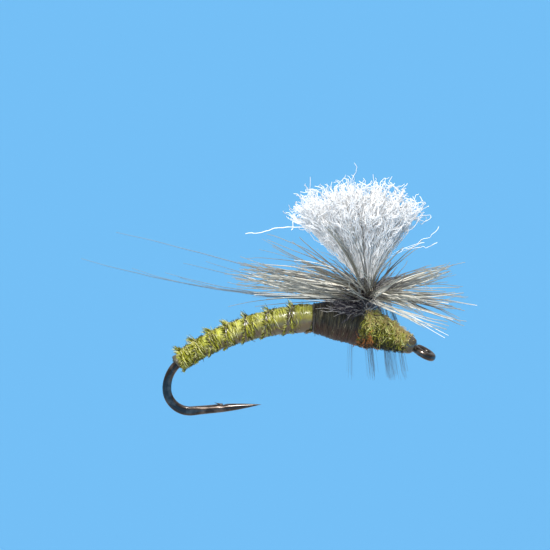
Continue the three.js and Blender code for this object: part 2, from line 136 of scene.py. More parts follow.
def ways_round_wire(stations, angles):
    """At points round the wire: the ways forwards, outwards and round it."""
    _, forward, up = on_wire(stations)
    out = up * np.cos(angles)[:, None] - np.outer(np.sin(angles), [0, 1, 0])
    return forward, out, np.cross(forward, out)


def smooth(x, low, high):
    t = np.clip((np.asarray(x, float) - low) / (high - low), 0, 1)
    return t * t * (3 - 2 * t)


def mix(a, b, t):
    return a + (b - a) * t


# ---------------------------------------------------------------- meshes


def loft(rings, looped=False):
    """A closed skin over rings of points: corners, faces, and the UV of each face's corners."""
    rings = np.asarray(rings, float)
    count, sides = rings.shape[:2]
    middle = rings.mean(1)
    length = np.concatenate([[0], np.cumsum(np.linalg.norm(np.diff(middle, axis=0), axis=1))])
    corners, faces, uvs = rings.reshape(-1, 3).tolist(), [], []
    for i in range(count if looped else count - 1):
        k = (i + 1) % count
        for j in range(sides):
            m = (j + 1) % sides
            faces.append((i * sides + j, k * sides + j, k * sides + m, i * sides + m))
            low, high = length[i], length[k] if k else length[i]
            uvs.append(((low, j), (high, j), (high, j + 1), (low, j + 1)))
    if not looped:
        for i, centre in ((0, len(corners)), (count - 1, len(corners) + 1)):
            corners.append(middle[i].tolist())
            for j in range(sides):
                pair = (i * sides + (j + 1) % sides, i * sides + j)
                faces.append((centre, *(pair if i else pair[::-1])))
                uvs.append(((length[i], j),) * 3)
    return corners, *facing_out(corners, faces, uvs)


def facing_out(corners, faces, uvs):
    """The same faces, turned round if they point inwards."""
    at = np.asarray(corners)
    tris = np.array([(f[0], f[k], f[k + 1]) for f in faces for k in range(1, len(f) - 1)])
    a, b, c = at[tris[:, 0]], at[tris[:, 1]], at[tris[:, 2]]
    if np.einsum("ij,ij->i", a, np.cross(b, c)).sum() < 0:
        return [f[::-1] for f in faces], [uv[::-1] for uv in uvs]
    return faces, uvs


def join(*skins):
    """Several skins as one."""
    corners, faces, uvs = [], [], []
    for more, around, flat in skins:
        faces += [tuple(k + len(corners) for k in face) for face in around]
        corners += list(more)
        uvs += flat
    return corners, faces, uvs


def make_piece(name, skin, finish, values=None):
    """A smooth mesh object at the origin, with one number per corner for each named value."""
    corners, faces, uvs = skin
    mesh = bpy.data.meshes.new(name)
    mesh.from_pydata((np.asarray(corners) * MM).tolist(), [], faces)
    layer = mesh.uv_layers.new(name="UVMap")
    layer.data.foreach_set("uv", [number for uv in uvs for pair in uv for number in pair])
    for label, numbers in (values or {}).items():
        mesh.attributes.new(label, "FLOAT", "POINT").data.foreach_set("value", numbers)
    mesh.shade_smooth()
    mesh.materials.append(finish)
    piece = bpy.data.objects.new(name, mesh)
    bpy.context.scene.collection.objects.link(piece)
    return piece


def fit(piece, slot, *nodes):
    """Puts a finished piece on the frame in place of its CAD nodes."""
    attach(piece, "root")
    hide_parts(*nodes)
    return piece


def sleeve(outer, inner, sides=56):
    """A sleeve round the wire; outer and inner are lists of stations and radii, rear to front."""
    outline = np.concatenate([np.asarray(outer), np.asarray(inner)[::-1]])
    angles = np.arange(sides) * TURN / sides
    rings = [round_wire(np.full(sides, s), r, angles) for s, r in outline]
    return loft(rings, looped=True)


# ---------------------------------------------------------------- node trees


def add(tree, kind, inputs=None, **settings):
    """Adds a node, sets it up, and links or sets its inputs, which are named or numbered."""
    made = tree.nodes.new(kind)
    for key, value in settings.items():
        setattr(made, key, value)
    for key, value in (inputs or {}).items():
        if isinstance(value, bpy.types.NodeSocket):
            tree.links.new(value, made.inputs[key])
        else:
            made.inputs[key].default_value = value
    return made


def calculate(tree, operation, *values):
    return add(tree, "ShaderNodeMath", dict(enumerate(values)), operation=operation).outputs[0]


def vectors(tree, operation, *values):
    made = add(tree, "ShaderNodeVectorMath", dict(enumerate(values)), operation=operation)
    return made.outputs["Vector"]


def scaled(tree, vector, factor):
    inputs = {0: vector, "Scale": factor}
    return add(tree, "ShaderNodeVectorMath", inputs, operation="SCALE").outputs["Vector"]


def named(tree, name, kind="FLOAT"):
    return add(tree, "GeometryNodeInputNamedAttribute", {"Name": name}, data_type=kind).outputs[0]


def stored(tree, geometry, name, value, kind="FLOAT"):
    inputs = {"Geometry": geometry, "Name": name, "Value": value}
    made = add(tree, "GeometryNodeStoreNamedAttribute", inputs, data_type=kind, domain="POINT")
    return made.outputs["Geometry"]


def straight_line(tree, count):
    """A line of so many points, for a tree to bend."""
    line = add(tree, "GeometryNodeCurvePrimitiveLine").outputs[0]
    return add(tree, "GeometryNodeResampleCurve", {"Curve": line, "Count": count}).outputs[0]


def round_section(tree, sides):
    inputs = {"Resolution": sides, "Radius": 1.0}
    return add(tree, "GeometryNodeCurvePrimitiveCircle", inputs).outputs["Curve"]


def new_tree(name, sockets):
    """An empty Geometry Nodes tree with named inputs; sockets maps each name to its type."""
    tree = bpy.data.node_groups.new(name, "GeometryNodeTree")
    tree.interface.new_socket("Geometry", in_out="OUTPUT", socket_type="NodeSocketGeometry")
    tree.interface.new_socket("Geometry", in_out="INPUT", socket_type="NodeSocketGeometry")
    for label, kind in sockets.items():
        tree.interface.new_socket(label, in_out="INPUT", socket_type="NodeSocket" + kind)
    return tree, add(tree, "NodeGroupInput").outputs


def end_tree(tree, mesh, finish):
    """Every tree ends alike: smooth faces, real geometry, and the finish."""
    mesh = add(tree, "GeometryNodeSetShadeSmooth", {"Geometry": mesh}).outputs[0]
    mesh = add(tree, "GeometryNodeRealizeInstances", {"Geometry": mesh}).outputs[0]
    mesh = add(tree, "GeometryNodeSetMaterial", {"Geometry": mesh, "Material": finish}).outputs[0]
    add(tree, "NodeGroupOutput", {"Geometry": mesh})
    return tree


def drift(tree, place, size, offset, amount):
    """A smooth shift in all directions, up to the amount, that changes over the given size."""
    scale = calculate(tree, "DIVIDE", 1.0, size)
    inputs = {"Vector": place, "W": offset, "Scale": scale, "Detail": 1.0}
    cloud = add(tree, "ShaderNodeTexNoise", inputs, noise_dimensions="4D").outputs["Color"]
    centred = vectors(tree, "SUBTRACT", cloud, (0.5, 0.5, 0.5))
    return scaled(tree, centred, calculate(tree, "MULTIPLY", amount, 4.0))


def fibre_tree():
    """Grows one fibre from each root.

    Its chord runs to its tip, its bow bends the middle and its curl turns the last part aside.
    A crimp waves the fibre more and more towards its tip, and neighbours wave alike.
    """
    sockets = {
        "Sections": "Int",
        "Sides": "Int",
        "Root Radius": "Float",
        "Tip Radius": "Float",
        "Crimp": "Float",
        "Crimp Length": "Float",
        "Fine Crimp": "Float",
        "Fine Crimp Length": "Float",
        "Seed": "Float",
        "Finish": "Material",
    }
    tree, given = new_tree("Fibres", sockets)
    place = add(tree, "GeometryNodeInputPosition").outputs[0]
    roots = stored(tree, given["Geometry"], "root", place, "FLOAT_VECTOR")
    line = straight_line(tree, given["Sections"])
    fibres = add(tree, "GeometryNodeInstanceOnPoints", {"Points": roots, "Instance": line})
    fibres = add(tree, "GeometryNodeRealizeInstances", {"Geometry": fibres.outputs[0]}).outputs[0]

    along = add(tree, "GeometryNodeSplineParameter").outputs["Factor"]
    fibres = stored(tree, fibres, "along", along)
    along = named(tree, "along")
    left = calculate(tree, "SUBTRACT", 1.0, along)
    arch = calculate(tree, "MULTIPLY", calculate(tree, "MULTIPLY", along, left), 4.0)
    path = vectors(tree, "ADD", named(tree, "root", "FLOAT_VECTOR"),
                   scaled(tree, named(tree, "chord", "FLOAT_VECTOR"), along))
    path = vectors(tree, "ADD", path, scaled(tree, named(tree, "bow", "FLOAT_VECTOR"), arch))
    end = calculate(tree, "MAXIMUM", calculate(tree, "MULTIPLY_ADD", along, 12.0, -9.2), 0.0)
    curl = named(tree, "curl", "FLOAT_VECTOR")
    path = vectors(tree, "ADD", path, scaled(tree, curl, calculate(tree, "SINE", end)))
    size = add(tree, "ShaderNodeVectorMath", {0: curl}, operation="LENGTH").outputs["Value"]
    back = calculate(tree, "SUBTRACT", calculate(tree, "COSINE", end), 1.0)
    back = calculate(tree, "MULTIPLY", calculate(tree, "MULTIPLY", back, size), 0.8)
    forward = vectors(tree, "NORMALIZE", named(tree, "chord", "FLOAT_VECTOR"))
    path = vectors(tree, "ADD", path, scaled(tree, forward, back))
    wave = drift(tree, path, given["Crimp Length"], given["Seed"], given["Crimp"])
    own = calculate(tree, "MULTIPLY_ADD", named(tree, "tone"), 7.0, given["Seed"])
    ripple = drift(tree, path, given["Fine Crimp Length"], own, given["Fine Crimp"])
    shift = scaled(tree, vectors(tree, "ADD", wave, ripple), along)
    inputs = {"Geometry": fibres, "Position": vectors(tree, "ADD", path, shift)}
    fibres = add(tree, "GeometryNodeSetPosition", inputs).outputs[0]

    ring = round_section(tree, given["Sides"])
    thinner = calculate(tree, "SUBTRACT", given["Tip Radius"], given["Root Radius"])
    radius = calculate(tree, "MULTIPLY_ADD", along, thinner, given["Root Radius"])
    radius = calculate(tree, "MULTIPLY", radius, named(tree, "girth"))
    inputs = {"Curve": fibres, "Profile Curve": ring, "Scale": radius, "Fill Caps": True}
    mesh = add(tree, "GeometryNodeCurveToMesh", inputs).outputs[0]
    return end_tree(tree, mesh, given["Finish"])


def winding_tree():
    """Winds one thread round a rail, whose reach is the radius and whose up starts each turn."""
    sockets = {
        "Turns": "Float",
        "Steps Per Turn": "Float",
        "Hand": "Float",
        "Thread Radius": "Float",
        "Unevenness": "Float",
        "Sides": "Int",
        "Seed": "Float",
        "Finish": "Material",
    }
    tree, given = new_tree("Thread winding", sockets)
    rail = add(tree, "GeometryNodeMeshToCurve", {"Mesh": given["Geometry"]}).outputs[0]
    count = calculate(tree, "MULTIPLY", given["Turns"], given["Steps Per Turn"])
    line = straight_line(tree, count)
    share = add(tree, "GeometryNodeSplineParameter").outputs["Factor"]
    turn = calculate(tree, "MULTIPLY", share, given["Turns"])
    line = stored(tree, line, "turn", turn)
    turn = named(tree, "turn")
    share = calculate(tree, "DIVIDE", turn, given["Turns"])

    inputs = {"Curves": rail, "Value": named(tree, "reach"), "Factor": share}
    sample = add(tree, "GeometryNodeSampleCurve", inputs, data_type="FLOAT").outputs
    inputs = {"Curves": rail, "Value": named(tree, "up", "FLOAT_VECTOR"), "Factor": share}
    up = add(tree, "GeometryNodeSampleCurve", inputs, data_type="FLOAT_VECTOR").outputs["Value"]
    side = vectors(tree, "CROSS_PRODUCT", up, sample["Tangent"])
    inputs = {"W": calculate(tree, "ADD", turn, given["Seed"]), "Scale": 1.7, "Detail": 2.0}
    wander = add(tree, "ShaderNodeTexNoise", inputs, noise_dimensions="1D").outputs["Color"]
    wander = vectors(tree, "SUBTRACT", wander, (0.5, 0.5, 0.5))
    wander = scaled(tree, wander, calculate(tree, "MULTIPLY", given["Unevenness"], 4.0))
    shift = add(tree, "ShaderNodeSeparateXYZ", {0: wander}).outputs
    reach = calculate(tree, "ADD", sample["Value"], calculate(tree, "ABSOLUTE", shift[0]))
    angle = calculate(tree, "MULTIPLY", turn, calculate(tree, "MULTIPLY", given["Hand"], TURN))
    high = calculate(tree, "COSINE", angle)
    over = calculate(tree, "MULTIPLY", high, reach)
    across = calculate(tree, "MULTIPLY", calculate(tree, "SINE", angle), reach)
    line = stored(tree, line, "under", calculate(tree, "MULTIPLY", high, -1.0))
    place = vectors(tree, "ADD", sample["Position"], scaled(tree, up, over))
    place = vectors(tree, "ADD", place, scaled(tree, side, across))
    place = vectors(tree, "ADD", place, scaled(tree, sample["Tangent"], shift[1]))
    line = add(tree, "GeometryNodeSetPosition", {"Geometry": line, "Position": place}).outputs[0]

    ring = round_section(tree, given["Sides"])
    spot = add(tree, "GeometryNodeInputPosition").outputs[0]
    ring = stored(tree, ring, "ring", spot, "FLOAT_VECTOR")
    inputs = {"Curve": line, "Profile Curve": ring, "Scale": given["Thread Radius"], "Fill Caps": True}
    mesh = add(tree, "GeometryNodeCurveToMesh", inputs).outputs[0]
    return end_tree(tree, mesh, given["Finish"])


def plain_result(piece, tree, settings):
    """Runs a tree on the piece, and leaves the result as the piece's own plain mesh."""
    modifier = piece.modifiers.new(tree.name, "NODES")
    modifier.node_group = tree
    for socket in tree.interface.items_tree:
        if socket.in_out == "INPUT" and socket.name in settings:
            modifier[socket.identifier] = settings[socket.name]
    graph = bpy.context.evaluated_depsgraph_get()
    grown = piece.evaluated_get(graph)
    mesh = bpy.data.meshes.new_from_object(grown, preserve_all_data_layers=True, depsgraph=graph)
    mesh.name = piece.name
    piece.modifiers.clear()
    piece.data = mesh
    return piece


def point_mesh(name, points, edges, vector_values, values):
    mesh = bpy.data.meshes.new(name)
    mesh.from_pydata((np.asarray(points) * MM).tolist(), edges, [])
    for label, numbers in vector_values.items():
        data = mesh.attributes.new(label, "FLOAT_VECTOR", "POINT").data
        data.foreach_set("vector", np.asarray(numbers, float).ravel())
    for label, numbers in values.items():
        mesh.attributes.new(label, "FLOAT", "POINT").data.foreach_set("value", numbers)
    piece = bpy.data.objects.new(name, mesh)
    bpy.context.scene.collection.objects.link(piece)
    return piece


FIBRES = fibre_tree()
WINDING = winding_tree()


def grow(name, fibres, finish, root, tip, sections=8, sides=3, crimp=(0, 1), fine=(0, 1), seed=0,
         girths=None, curls=None):
    """A piece of many fibres. fibres holds roots, chords, bows and tones; sizes are millimetres.

    crimp and fine are each a height and a length of wave.
    """
    roots, chords, bows, tones = fibres
    girths = np.ones(len(roots)) if girths is None else girths
    curls = np.zeros((len(roots), 3)) if curls is None else curls
    ways = {"chord": chords, "bow": bows, "curl": curls}
    ways = {label: np.asarray(way) * MM for label, way in ways.items()}
    piece = point_mesh(name, roots, [], ways, {"tone": tones, "girth": girths})
    settings = {
        "Sections": sections,
        "Sides": sides,
        "Root Radius": root * MM,
        "Tip Radius": tip * MM,
        "Crimp": crimp[0] * MM,
        "Crimp Length": crimp[1] * MM,
        "Fine Crimp": fine[0] * MM,
        "Fine Crimp Length": fine[1] * MM,
        "Seed": float(seed),
        "Finish": finish,
    }
    return plain_result(piece, FIBRES, settings)


def wind(name, rail, turns, thread, finish, hand=1, uneven=0.0, steps=26, sides=7, seed=0):
    """A piece of thread wound round a rail of places, up directions and radii."""
    places, ups, radii = rail
    edges = [(i, i + 1) for i in range(len(places) - 1)]
    reach = np.asarray(radii, float) * MM
    piece = point_mesh(name, places, edges, {"up": ups}, {"reach": reach})
    settings = {
        "Turns": float(turns),
        "Steps Per Turn": float(steps),
        "Hand": float(hand),
        "Thread Radius": thread * MM,
        "Unevenness": uneven * MM,
        "Sides": sides,
        "Seed": float(seed),
        "Finish": finish,
    }
    return plain_result(piece, WINDING, settings)


def shank_rail(rear, front, radius_at, count=60):
    """A rail along the shank for a winding whose radius changes with the station."""
    stations = np.linspace(rear, front, count)
    place, _, up = on_wire(stations)
    return place, up, radius_at(stations)


def level(radius):
    """The same radius all along a rail."""
    return lambda places: np.full(len(places), radius)


# ---------------------------------------------------------------- finishes


def new_finish(name, roughness, **constants):
    """A material with its shader's constants set, and its tree."""
    finish = bpy.data.materials.new(name)
    finish.use_nodes = True
    tree = finish.node_tree
    shader = tree.nodes["Principled BSDF"]
    shader.inputs["Roughness"].default_value = roughness
    for key, value in constants.items():
        shader.inputs[key.replace("_", " ")].default_value = value
    return finish, tree, shader


def cloud(tree, size, detail=3.0, stretch=(1, 1, 1), where=None):
    """Noise with features of about the given size in millimetres."""
    where = where or place_in(tree, "Object")
    if stretch != (1, 1, 1):
        where = add(tree, "ShaderNodeMapping", {"Vector": where, "Scale": stretch}).outputs[0]
    inputs = {"Vector": where, "Scale": 1 / (size * MM), "Detail": detail}
    return add(tree, "ShaderNodeTexNoise", inputs).outputs["Fac"]


def place_in(tree, kind):
    """Places on a piece, as its own Object or UV coordinates."""
    return add(tree, "ShaderNodeTexCoord").outputs[kind]


def share_between(tree, value, low, high, **settings):
    """How far the value is from low to high, from 0 to 1."""
    inputs = {0: value, "From Min": low, "From Max": high}
    return add(tree, "ShaderNodeMapRange", inputs, **settings).outputs[0]


def value_of(tree, name):
    return add(tree, "ShaderNodeAttribute", attribute_name=name).outputs["Fac"]


def ramp(tree, factor, *stops):
    """A colour ramp; each stop is a place and a colour."""
    made = add(tree, "ShaderNodeValToRGB", {"Fac": factor})
    elements = made.color_ramp.elements
    while len(elements) < len(stops):
        elements.new(1.0)
    for element, (place, colour) in zip(elements, stops):
        element.position = place
        element.color = (*colour, 1.0)
    return made.outputs["Color"]


def blend(tree, factor, first, second, how="MIX"):
    made = add(tree, "ShaderNodeMix", {"Factor": factor}, data_type="RGBA", blend_type=how)
    for socket, colour in ((made.inputs[6], first), (made.inputs[7], second)):
        if isinstance(colour, bpy.types.NodeSocket):
            tree.links.new(colour, socket)
        else:
            socket.default_value = (*colour, 1.0)
    return made.outputs[2]


def relief(tree, shader, height, depth):
    """Bumps the surface by the height, times the depth in millimetres."""
    inputs = {"Height": height, "Distance": depth * MM, "Strength": 1.0}
    normal = add(tree, "ShaderNodeBump", inputs).outputs["Normal"]
    tree.links.new(normal, shader.inputs["Normal"])


def paint(tree, shader, colour):
    tree.links.new(colour, shader.inputs["Base Color"])


def bronzed_wire():
    """Dark bronze finish, with drawing lines along the wire and paler worn places."""
    finish, tree, shader = new_finish("bronzed_wire", 0.25, Metallic=1.0, Coat_Weight=1.0)
    shader.inputs["Coat Roughness"].default_value = 0.16
    lines = cloud(tree, 1.0, 2.0, (0.0006, 0.0011, 1), place_in(tree, "UV"))
    worn = cloud(tree, 0.5, 4.0)
    dark = ramp(tree, lines, (0.3, (0.02, 0.013, 0.01)), (0.75, (0.075, 0.055, 0.045)))
    rubbed = ramp(tree, worn, (0.5, (0.0, 0.0, 0.0)), (0.75, (1.0, 1.0, 1.0)))
    paint(tree, shader, blend(tree, rubbed, dark, (0.22, 0.17, 0.14)))
    rough = add(tree, "ShaderNodeMapRange", {0: lines, "To Min": 0.2, "To Max": 0.42}).outputs[0]
    tree.links.new(rough, shader.inputs["Roughness"])
    relief(tree, shader, calculate(tree, "ADD", lines, worn), 0.006)
    return finish


def glossy_quill():
    """Dyed quill, olive yellow with fine ribs; painted shadow darkens it along its thick edge, and
    painted shade browns it underneath and towards the front.
    """
    constants = {"Coat_Weight": 1.0, "Specular_IOR_Level": 0.4}
    finish, tree, shader = new_finish("glossy_quill", 0.4, **constants)
    shader.inputs["Coat Roughness"].default_value = 0.28
    shader.inputs["Coat IOR"].default_value = 1.9
    across, under = value_of(tree, "across"), value_of(tree, "under")
    ribs = cloud(tree, 1.0, 3.0, (0.0006, 0.009, 1), place_in(tree, "UV"))
    stops = ((0.3, (0.22, 0.22, 0.006)), (0.5, (0.52, 0.54, 0.03)), (0.72, (0.82, 0.82, 0.13)))
    body = ramp(tree, ribs, *stops)
    # Painted shadow: the band darkens towards its raised thick edge, as under the edge's fringe.
    stops = ((0.0, (0.06, 0.045, 0.005)), (0.16, (0.12, 0.1, 0.01)), (0.36, (1.0, 1.0, 1.0)))
    body = blend(tree, 1.0, body, ramp(tree, across, *stops), "MULTIPLY")
    mottle = cloud(tree, 0.3, 4.0)
    stops = ((0.3, (0.4, 0.36, 0.25)), (0.58, (1.0, 1.0, 1.0)))
    body = blend(tree, 0.7, body, ramp(tree, mottle, *stops), "MULTIPLY")
    # Painted shade: brown underneath and towards the front, by the under value.
    below = share_between(tree, under, -0.75, 0.35)
    shade = calculate(tree, "MULTIPLY", below, calculate(tree, "ADD", mottle, 0.5))
    paint(tree, shader, blend(tree, shade, body, (0.09, 0.05, 0.008)))
    height = calculate(tree, "ADD", ribs, calculate(tree, "MULTIPLY", mottle, 0.8))
    relief(tree, shader, height, 0.02)
    return finish


def hair(name, roughness, stops, tips=None, streak=0.5, **constants):
    """Fine fibres whose tone picks a colour, darker in patches and paler towards the tips."""
    finish, tree, shader = new_finish(name, roughness, **constants)
    tone = value_of(tree, "tone")
    patchy = calculate(tree, "SUBTRACT", cloud(tree, 0.25, 3.0), 0.5)
    pick = calculate(tree, "MULTIPLY_ADD", patchy, streak, tone)
    colour = ramp(tree, pick, *stops)
    if tips:
        along = value_of(tree, "along")
        colour = blend(tree, calculate(tree, "POWER", along, 1.6), colour, tips)
    paint(tree, shader, colour)
    relief(tree, shader, cloud(tree, 0.06, 2.0), 0.006)
    return finish


def thread_finish(name, dark, light, low=None, roughness=0.42):
    """Multi-strand thread: the strands twist round it, and each turn differs a little.

    low is the colour that it takes underneath.
    """
    finish, tree, shader = new_finish(name, roughness, Sheen_Weight=0.1)
    turn = value_of(tree, "turn")
    ring = add(tree, "ShaderNodeAttribute", attribute_name="ring").outputs["Vector"]
    spot = add(tree, "ShaderNodeSeparateXYZ", {0: ring}).outputs
    around = calculate(tree, "ARCTAN2", spot[1], spot[0])
    phase = calculate(tree, "MULTIPLY_ADD", turn, 9 * TURN, calculate(tree, "MULTIPLY", around, 4.0))
    strands = calculate(tree, "MULTIPLY_ADD", calculate(tree, "SINE", phase), 0.5, 0.5)
    inputs = {"W": turn, "Scale": 1.6, "Detail": 3.0}
    lot = add(tree, "ShaderNodeTexNoise", inputs, noise_dimensions="1D").outputs["Fac"]
    tint = calculate(tree, "MULTIPLY_ADD", lot, 1.7, -0.5)
    tint = calculate(tree, "MULTIPLY_ADD", strands, 0.3, tint)
    colour = ramp(tree, tint, (0.2, dark), (0.85, light))
    if low:
        under = share_between(tree, value_of(tree, "under"), -0.1, 0.7)
        patches = calculate(tree, "MULTIPLY", under, cloud(tree, 0.3, 3.0))
        colour = blend(tree, calculate(tree, "MULTIPLY", patches, 1.7), colour, low)
    paint(tree, shader, colour)
    relief(tree, shader, calculate(tree, "ADD", strands, cloud(tree, 0.03, 2.0)), 0.008)
    return finish


def yarn_body():
    """The bundled part of the white yarn: fine grooves along it, painted grey as shade in the grooves.
    """
    finish, tree, shader = new_finish("yarn_body", 0.45, Sheen_Weight=0.4)
    grooves = cloud(tree, 1.0, 3.0, (0.0008, 0.002, 1), place_in(tree, "UV"))
    # Painted shade: greyer where the grooves are deep.
    paint(tree, shader, ramp(tree, grooves, (0.3, (0.78, 0.79, 0.8)), (0.7, (0.96, 0.96, 0.96))))
    relief(tree, shader, grooves, 0.05)
    return finish


def fur_base():
    """The felted heart of the dubbing, painted dark as the shade between its fibres."""
    finish, tree, shader = new_finish("fur_base", 0.85, Sheen_Weight=0.3)
    clumps = cloud(tree, 0.22, 5.0)
    stops = ((0.35, (0.03, 0.03, 0.008)), (0.55, (0.13, 0.12, 0.025)), (0.75, (0.3, 0.29, 0.06)))
    # Painted shade: darkest in the hollows between the clumps.
    paint(tree, shader, ramp(tree, clumps, *stops))
    relief(tree, shader, calculate(tree, "ADD", clumps, cloud(tree, 0.06, 4.0)), 0.08)
    return finish


def varnish():
    """Amber head cement over dark thread, pooled a little unevenly."""
    finish, tree, shader = new_finish("varnish", 0.22, Coat_Weight=1.0)
    shader.inputs["Coat Roughness"].default_value = 0.15
    shader.inputs["Coat IOR"].default_value = 1.7
    pools = cloud(tree, 0.3, 2.0)
    paint(tree, shader, ramp(tree, pools, (0.3, (0.012, 0.009, 0.005)), (0.7, (0.06, 0.045, 0.018))))
    relief(tree, shader, pools, 0.008)
    return finish


def winding_heart():
    """The dark thread deep in the thorax winding, seen only between its top turns."""
    finish, tree, shader = new_finish("winding_heart", 0.55, Sheen_Weight=0.3)
    strands = cloud(tree, 0.12, 3.0, (1.0, 0.25, 0.25))
    stops = ((0.3, (0.01, 0.009, 0.008)), (0.7, (0.05, 0.04, 0.03)))
    paint(tree, shader, ramp(tree, strands, *stops))
    relief(tree, shader, strands, 0.02)
    return finish


# ---------------------------------------------------------------- hook

NEEDLE_TIP = 0.25
NEEDLE_RADIUS = 0.008
BEND_LENGTH = 4.4  # along the wire, from the spear
BARB_LENGTH = 0.42
BARB_RISE = 0.17
BARB_HALF_WIDTH = 0.1
BARB_HALF_THICKNESS = 0.07
NOTCH_DEPTH = 0.05
# The wire's way to the eye, ahead of its middle and aside, and then round it in degrees.
EYE_LEAD = ((-0.42, 0.0), (-0.28, -0.02), (-0.14, -0.08), (-0.03, -0.17))
EYE_START = 222
EYE_SWEEP = 296


def spear_and_shank():
    """Rings from the needle point to the eye's shoulder: stations and the section at each."""
    stations = np.concatenate([
        np.linspace(0, NEEDLE_TIP, 8, endpoint=False),
        np.linspace(NEEDLE_TIP, SPEAR_LENGTH, 44, endpoint=False),
        np.linspace(SPEAR_LENGTH, SPEAR_LENGTH + BEND_LENGTH, 72, endpoint=False),
        np.linspace(SPEAR_LENGTH + BEND_LENGTH, EYE_STATION - 0.5, 120),
    ])
    sharp = np.sin(np.clip(stations / POINT_TAPER, 0, 1) * math.pi / 2) ** 0.92
    shoulder = smooth(stations, HEAD_REAR, EYE_STATION)
    radius = np.maximum(NEEDLE_RADIUS, mix(WIRE_RADIUS, EYE_WIRE_RADIUS + 0.02, shoulder) * sharp)
    bend_end = SPEAR_LENGTH + WIRE_ARCS[0][0] * math.radians(90 + SPEAR_RISE)
    forging = smooth(stations, SPEAR_LENGTH - 0.8, SPEAR_LENGTH)
    forging *= 1 - smooth(stations, bend_end, bend_end + 0.8)
    return stations, radius, forging


def wire_rings(sides=32):
    stations, radius, forging = spear_and_shank()
    place, _, up = on_wire(stations)
    angles = np.arange(sides) * TURN / sides
    rings = []
    for at, p, u, r, forged in zip(stations, place, up, radius, forging):
        y, z = -r * np.sin(angles), r * np.cos(angles)
        z = z * mix(1.0, 1.06, forged)
        flat = FORGED_HALF * np.tanh(y / FORGED_HALF * 1.6) / np.tanh(1.6 * r / FORGED_HALF + 1e-9)
        y = mix(y, np.minimum(np.abs(flat), FORGED_HALF) * np.sign(y), forged)
        # The barb was cut up from the inner side, which leaves a shallow notch behind it.
        notch = NOTCH_DEPTH * np.exp(-(((at - BARB_STATION + 0.28) / 0.16) ** 2))
        z = np.where(z < 0, z + notch * np.cos(angles) ** 2, z)
        rings.append(p + np.outer(z, u) + np.outer(y, [0, 1, 0]))
    return rings


def eye_rings(sides=32):
    """The wire goes aside, round the eye and back to the shank, which its cut end touches."""
    place, forward, up = (v[0] for v in on_wire(EYE_STATION))
    lean = math.radians(EYE_LEAN)
    across = np.array([0.0, math.cos(lean), 0.0]) + up * math.sin(lean)
    up = np.cross(forward, across)
    up *= np.sign(up[2])
    ring = (EYE_BORE + 2 * EYE_WIRE_RADIUS) / 2
    swing = np.radians(np.linspace(EYE_START, EYE_START + EYE_SWEEP, 60))
    loop = np.stack([ring + ring * np.cos(swing), ring * np.sin(swing)], 1)
    flat = np.concatenate([EYE_LEAD, loop])
    path = place + np.outer(flat[:, 0], forward) + np.outer(flat[:, 1], across)
    run = np.gradient(path, axis=0)
    run /= np.linalg.norm(run, axis=1)[:, None]
    side = np.cross(up, run)
    angles = np.arange(sides) * TURN / sides
    radius = np.full(len(path), EYE_WIRE_RADIUS)
    radius[:4] += [0.015, 0.01, 0.005, 0.002]
    radius[-6:] = EYE_WIRE_RADIUS * np.array([0.97, 0.93, 0.88, 0.8, 0.68, 0.5])
    return [p + r * (np.outer(np.cos(angles), up) - np.outer(np.sin(angles), s))
            for p, s, r in zip(path, side, radius)]


def barb_rings():
    """The barb: a thin sliver raised from the spear, its tip towards the bend."""
    place, forward, up = (v[0] for v in on_wire(BARB_STATION))
    shares = np.linspace(0, 1, 9)
    angles = np.arange(10) * TURN / 10
    rings = []
    for share in shares:
        height = WIRE_RADIUS * 0.72 + BARB_RISE * share ** 1.2
        centre = place + forward * (share * BARB_LENGTH - 0.3) - up * height
        wide = BARB_HALF_WIDTH * (1 - share) ** 0.7 + 0.006
        thick = BARB_HALF_THICKNESS * (1 - share) + 0.006
        rings.append(centre + np.outer(wide * np.cos(angles), [0, 1, 0])
                     + np.outer(thick * np.sin(angles), up))
    return rings


def make_hook(finish):
    skin = join(loft(wire_rings() + eye_rings()), loft(barb_rings()))
    fit(make_piece("hook_wire", skin, finish), "hook_wire", "hook")


# ---------------------------------------------------------------- abdomen

BIOT_REAR_PITCH = 0.72
BIOT_FRONT_PITCH = 1.3
BIOT_TURNS = 2 * ABDOMEN_LENGTH / (BIOT_REAR_PITCH + BIOT_FRONT_PITCH)
EDGE_START = 0.37  # turns by which the raised edge on top comes before each whole turn
UNDERBODY_THICKNESS = 0.055
UNDERBODY_GROWTH = 0.32
FRINGE_HEIGHT = 0.095


def biot_angle(turn):
    return -(np.asarray(turn) + EDGE_START) * TURN


def biot_seat(station):
    """The radius that the quill is wound on."""
    share = np.clip((np.asarray(station) - ABDOMEN_REAR) / ABDOMEN_LENGTH, 0, 1)
    return FOUNDATION_RADIUS + UNDERBODY_THICKNESS + UNDERBODY_GROWTH * share


def biot_station(turn):
    growth = (BIOT_FRONT_PITCH - BIOT_REAR_PITCH) / (2 * BIOT_TURNS)
    return ABDOMEN_REAR + BIOT_REAR_PITCH * turn + growth * turn ** 2


# The quill's section from its thick rear edge, over the top, to its thin front edge and back
# underneath: the part in millimetres, the share of its width, and the height.
BIOT_SECTION = (
    (-0.09, 0.0, 0.07), (-0.08, 0.0, 0.105), (-0.035, 0.0, 0.135), (0.02, 0.0, 0.14),
    (0.07, 0.0, 0.125), (0.11, 0.0, 0.1), (0.13, 0.12, 0.088), (0.08, 0.4, 0.092),
    (0.04, 0.7, 0.082), (0.0, 0.92, 0.06), (0.0, 1.03, 0.045), (0.0, 1.05, 0.015),
    (0.0, 0.8, 0.0), (0.0, 0.4, 0.0), (0.05, 0.0, 0.01), (-0.02, 0.0, 0.05),
)


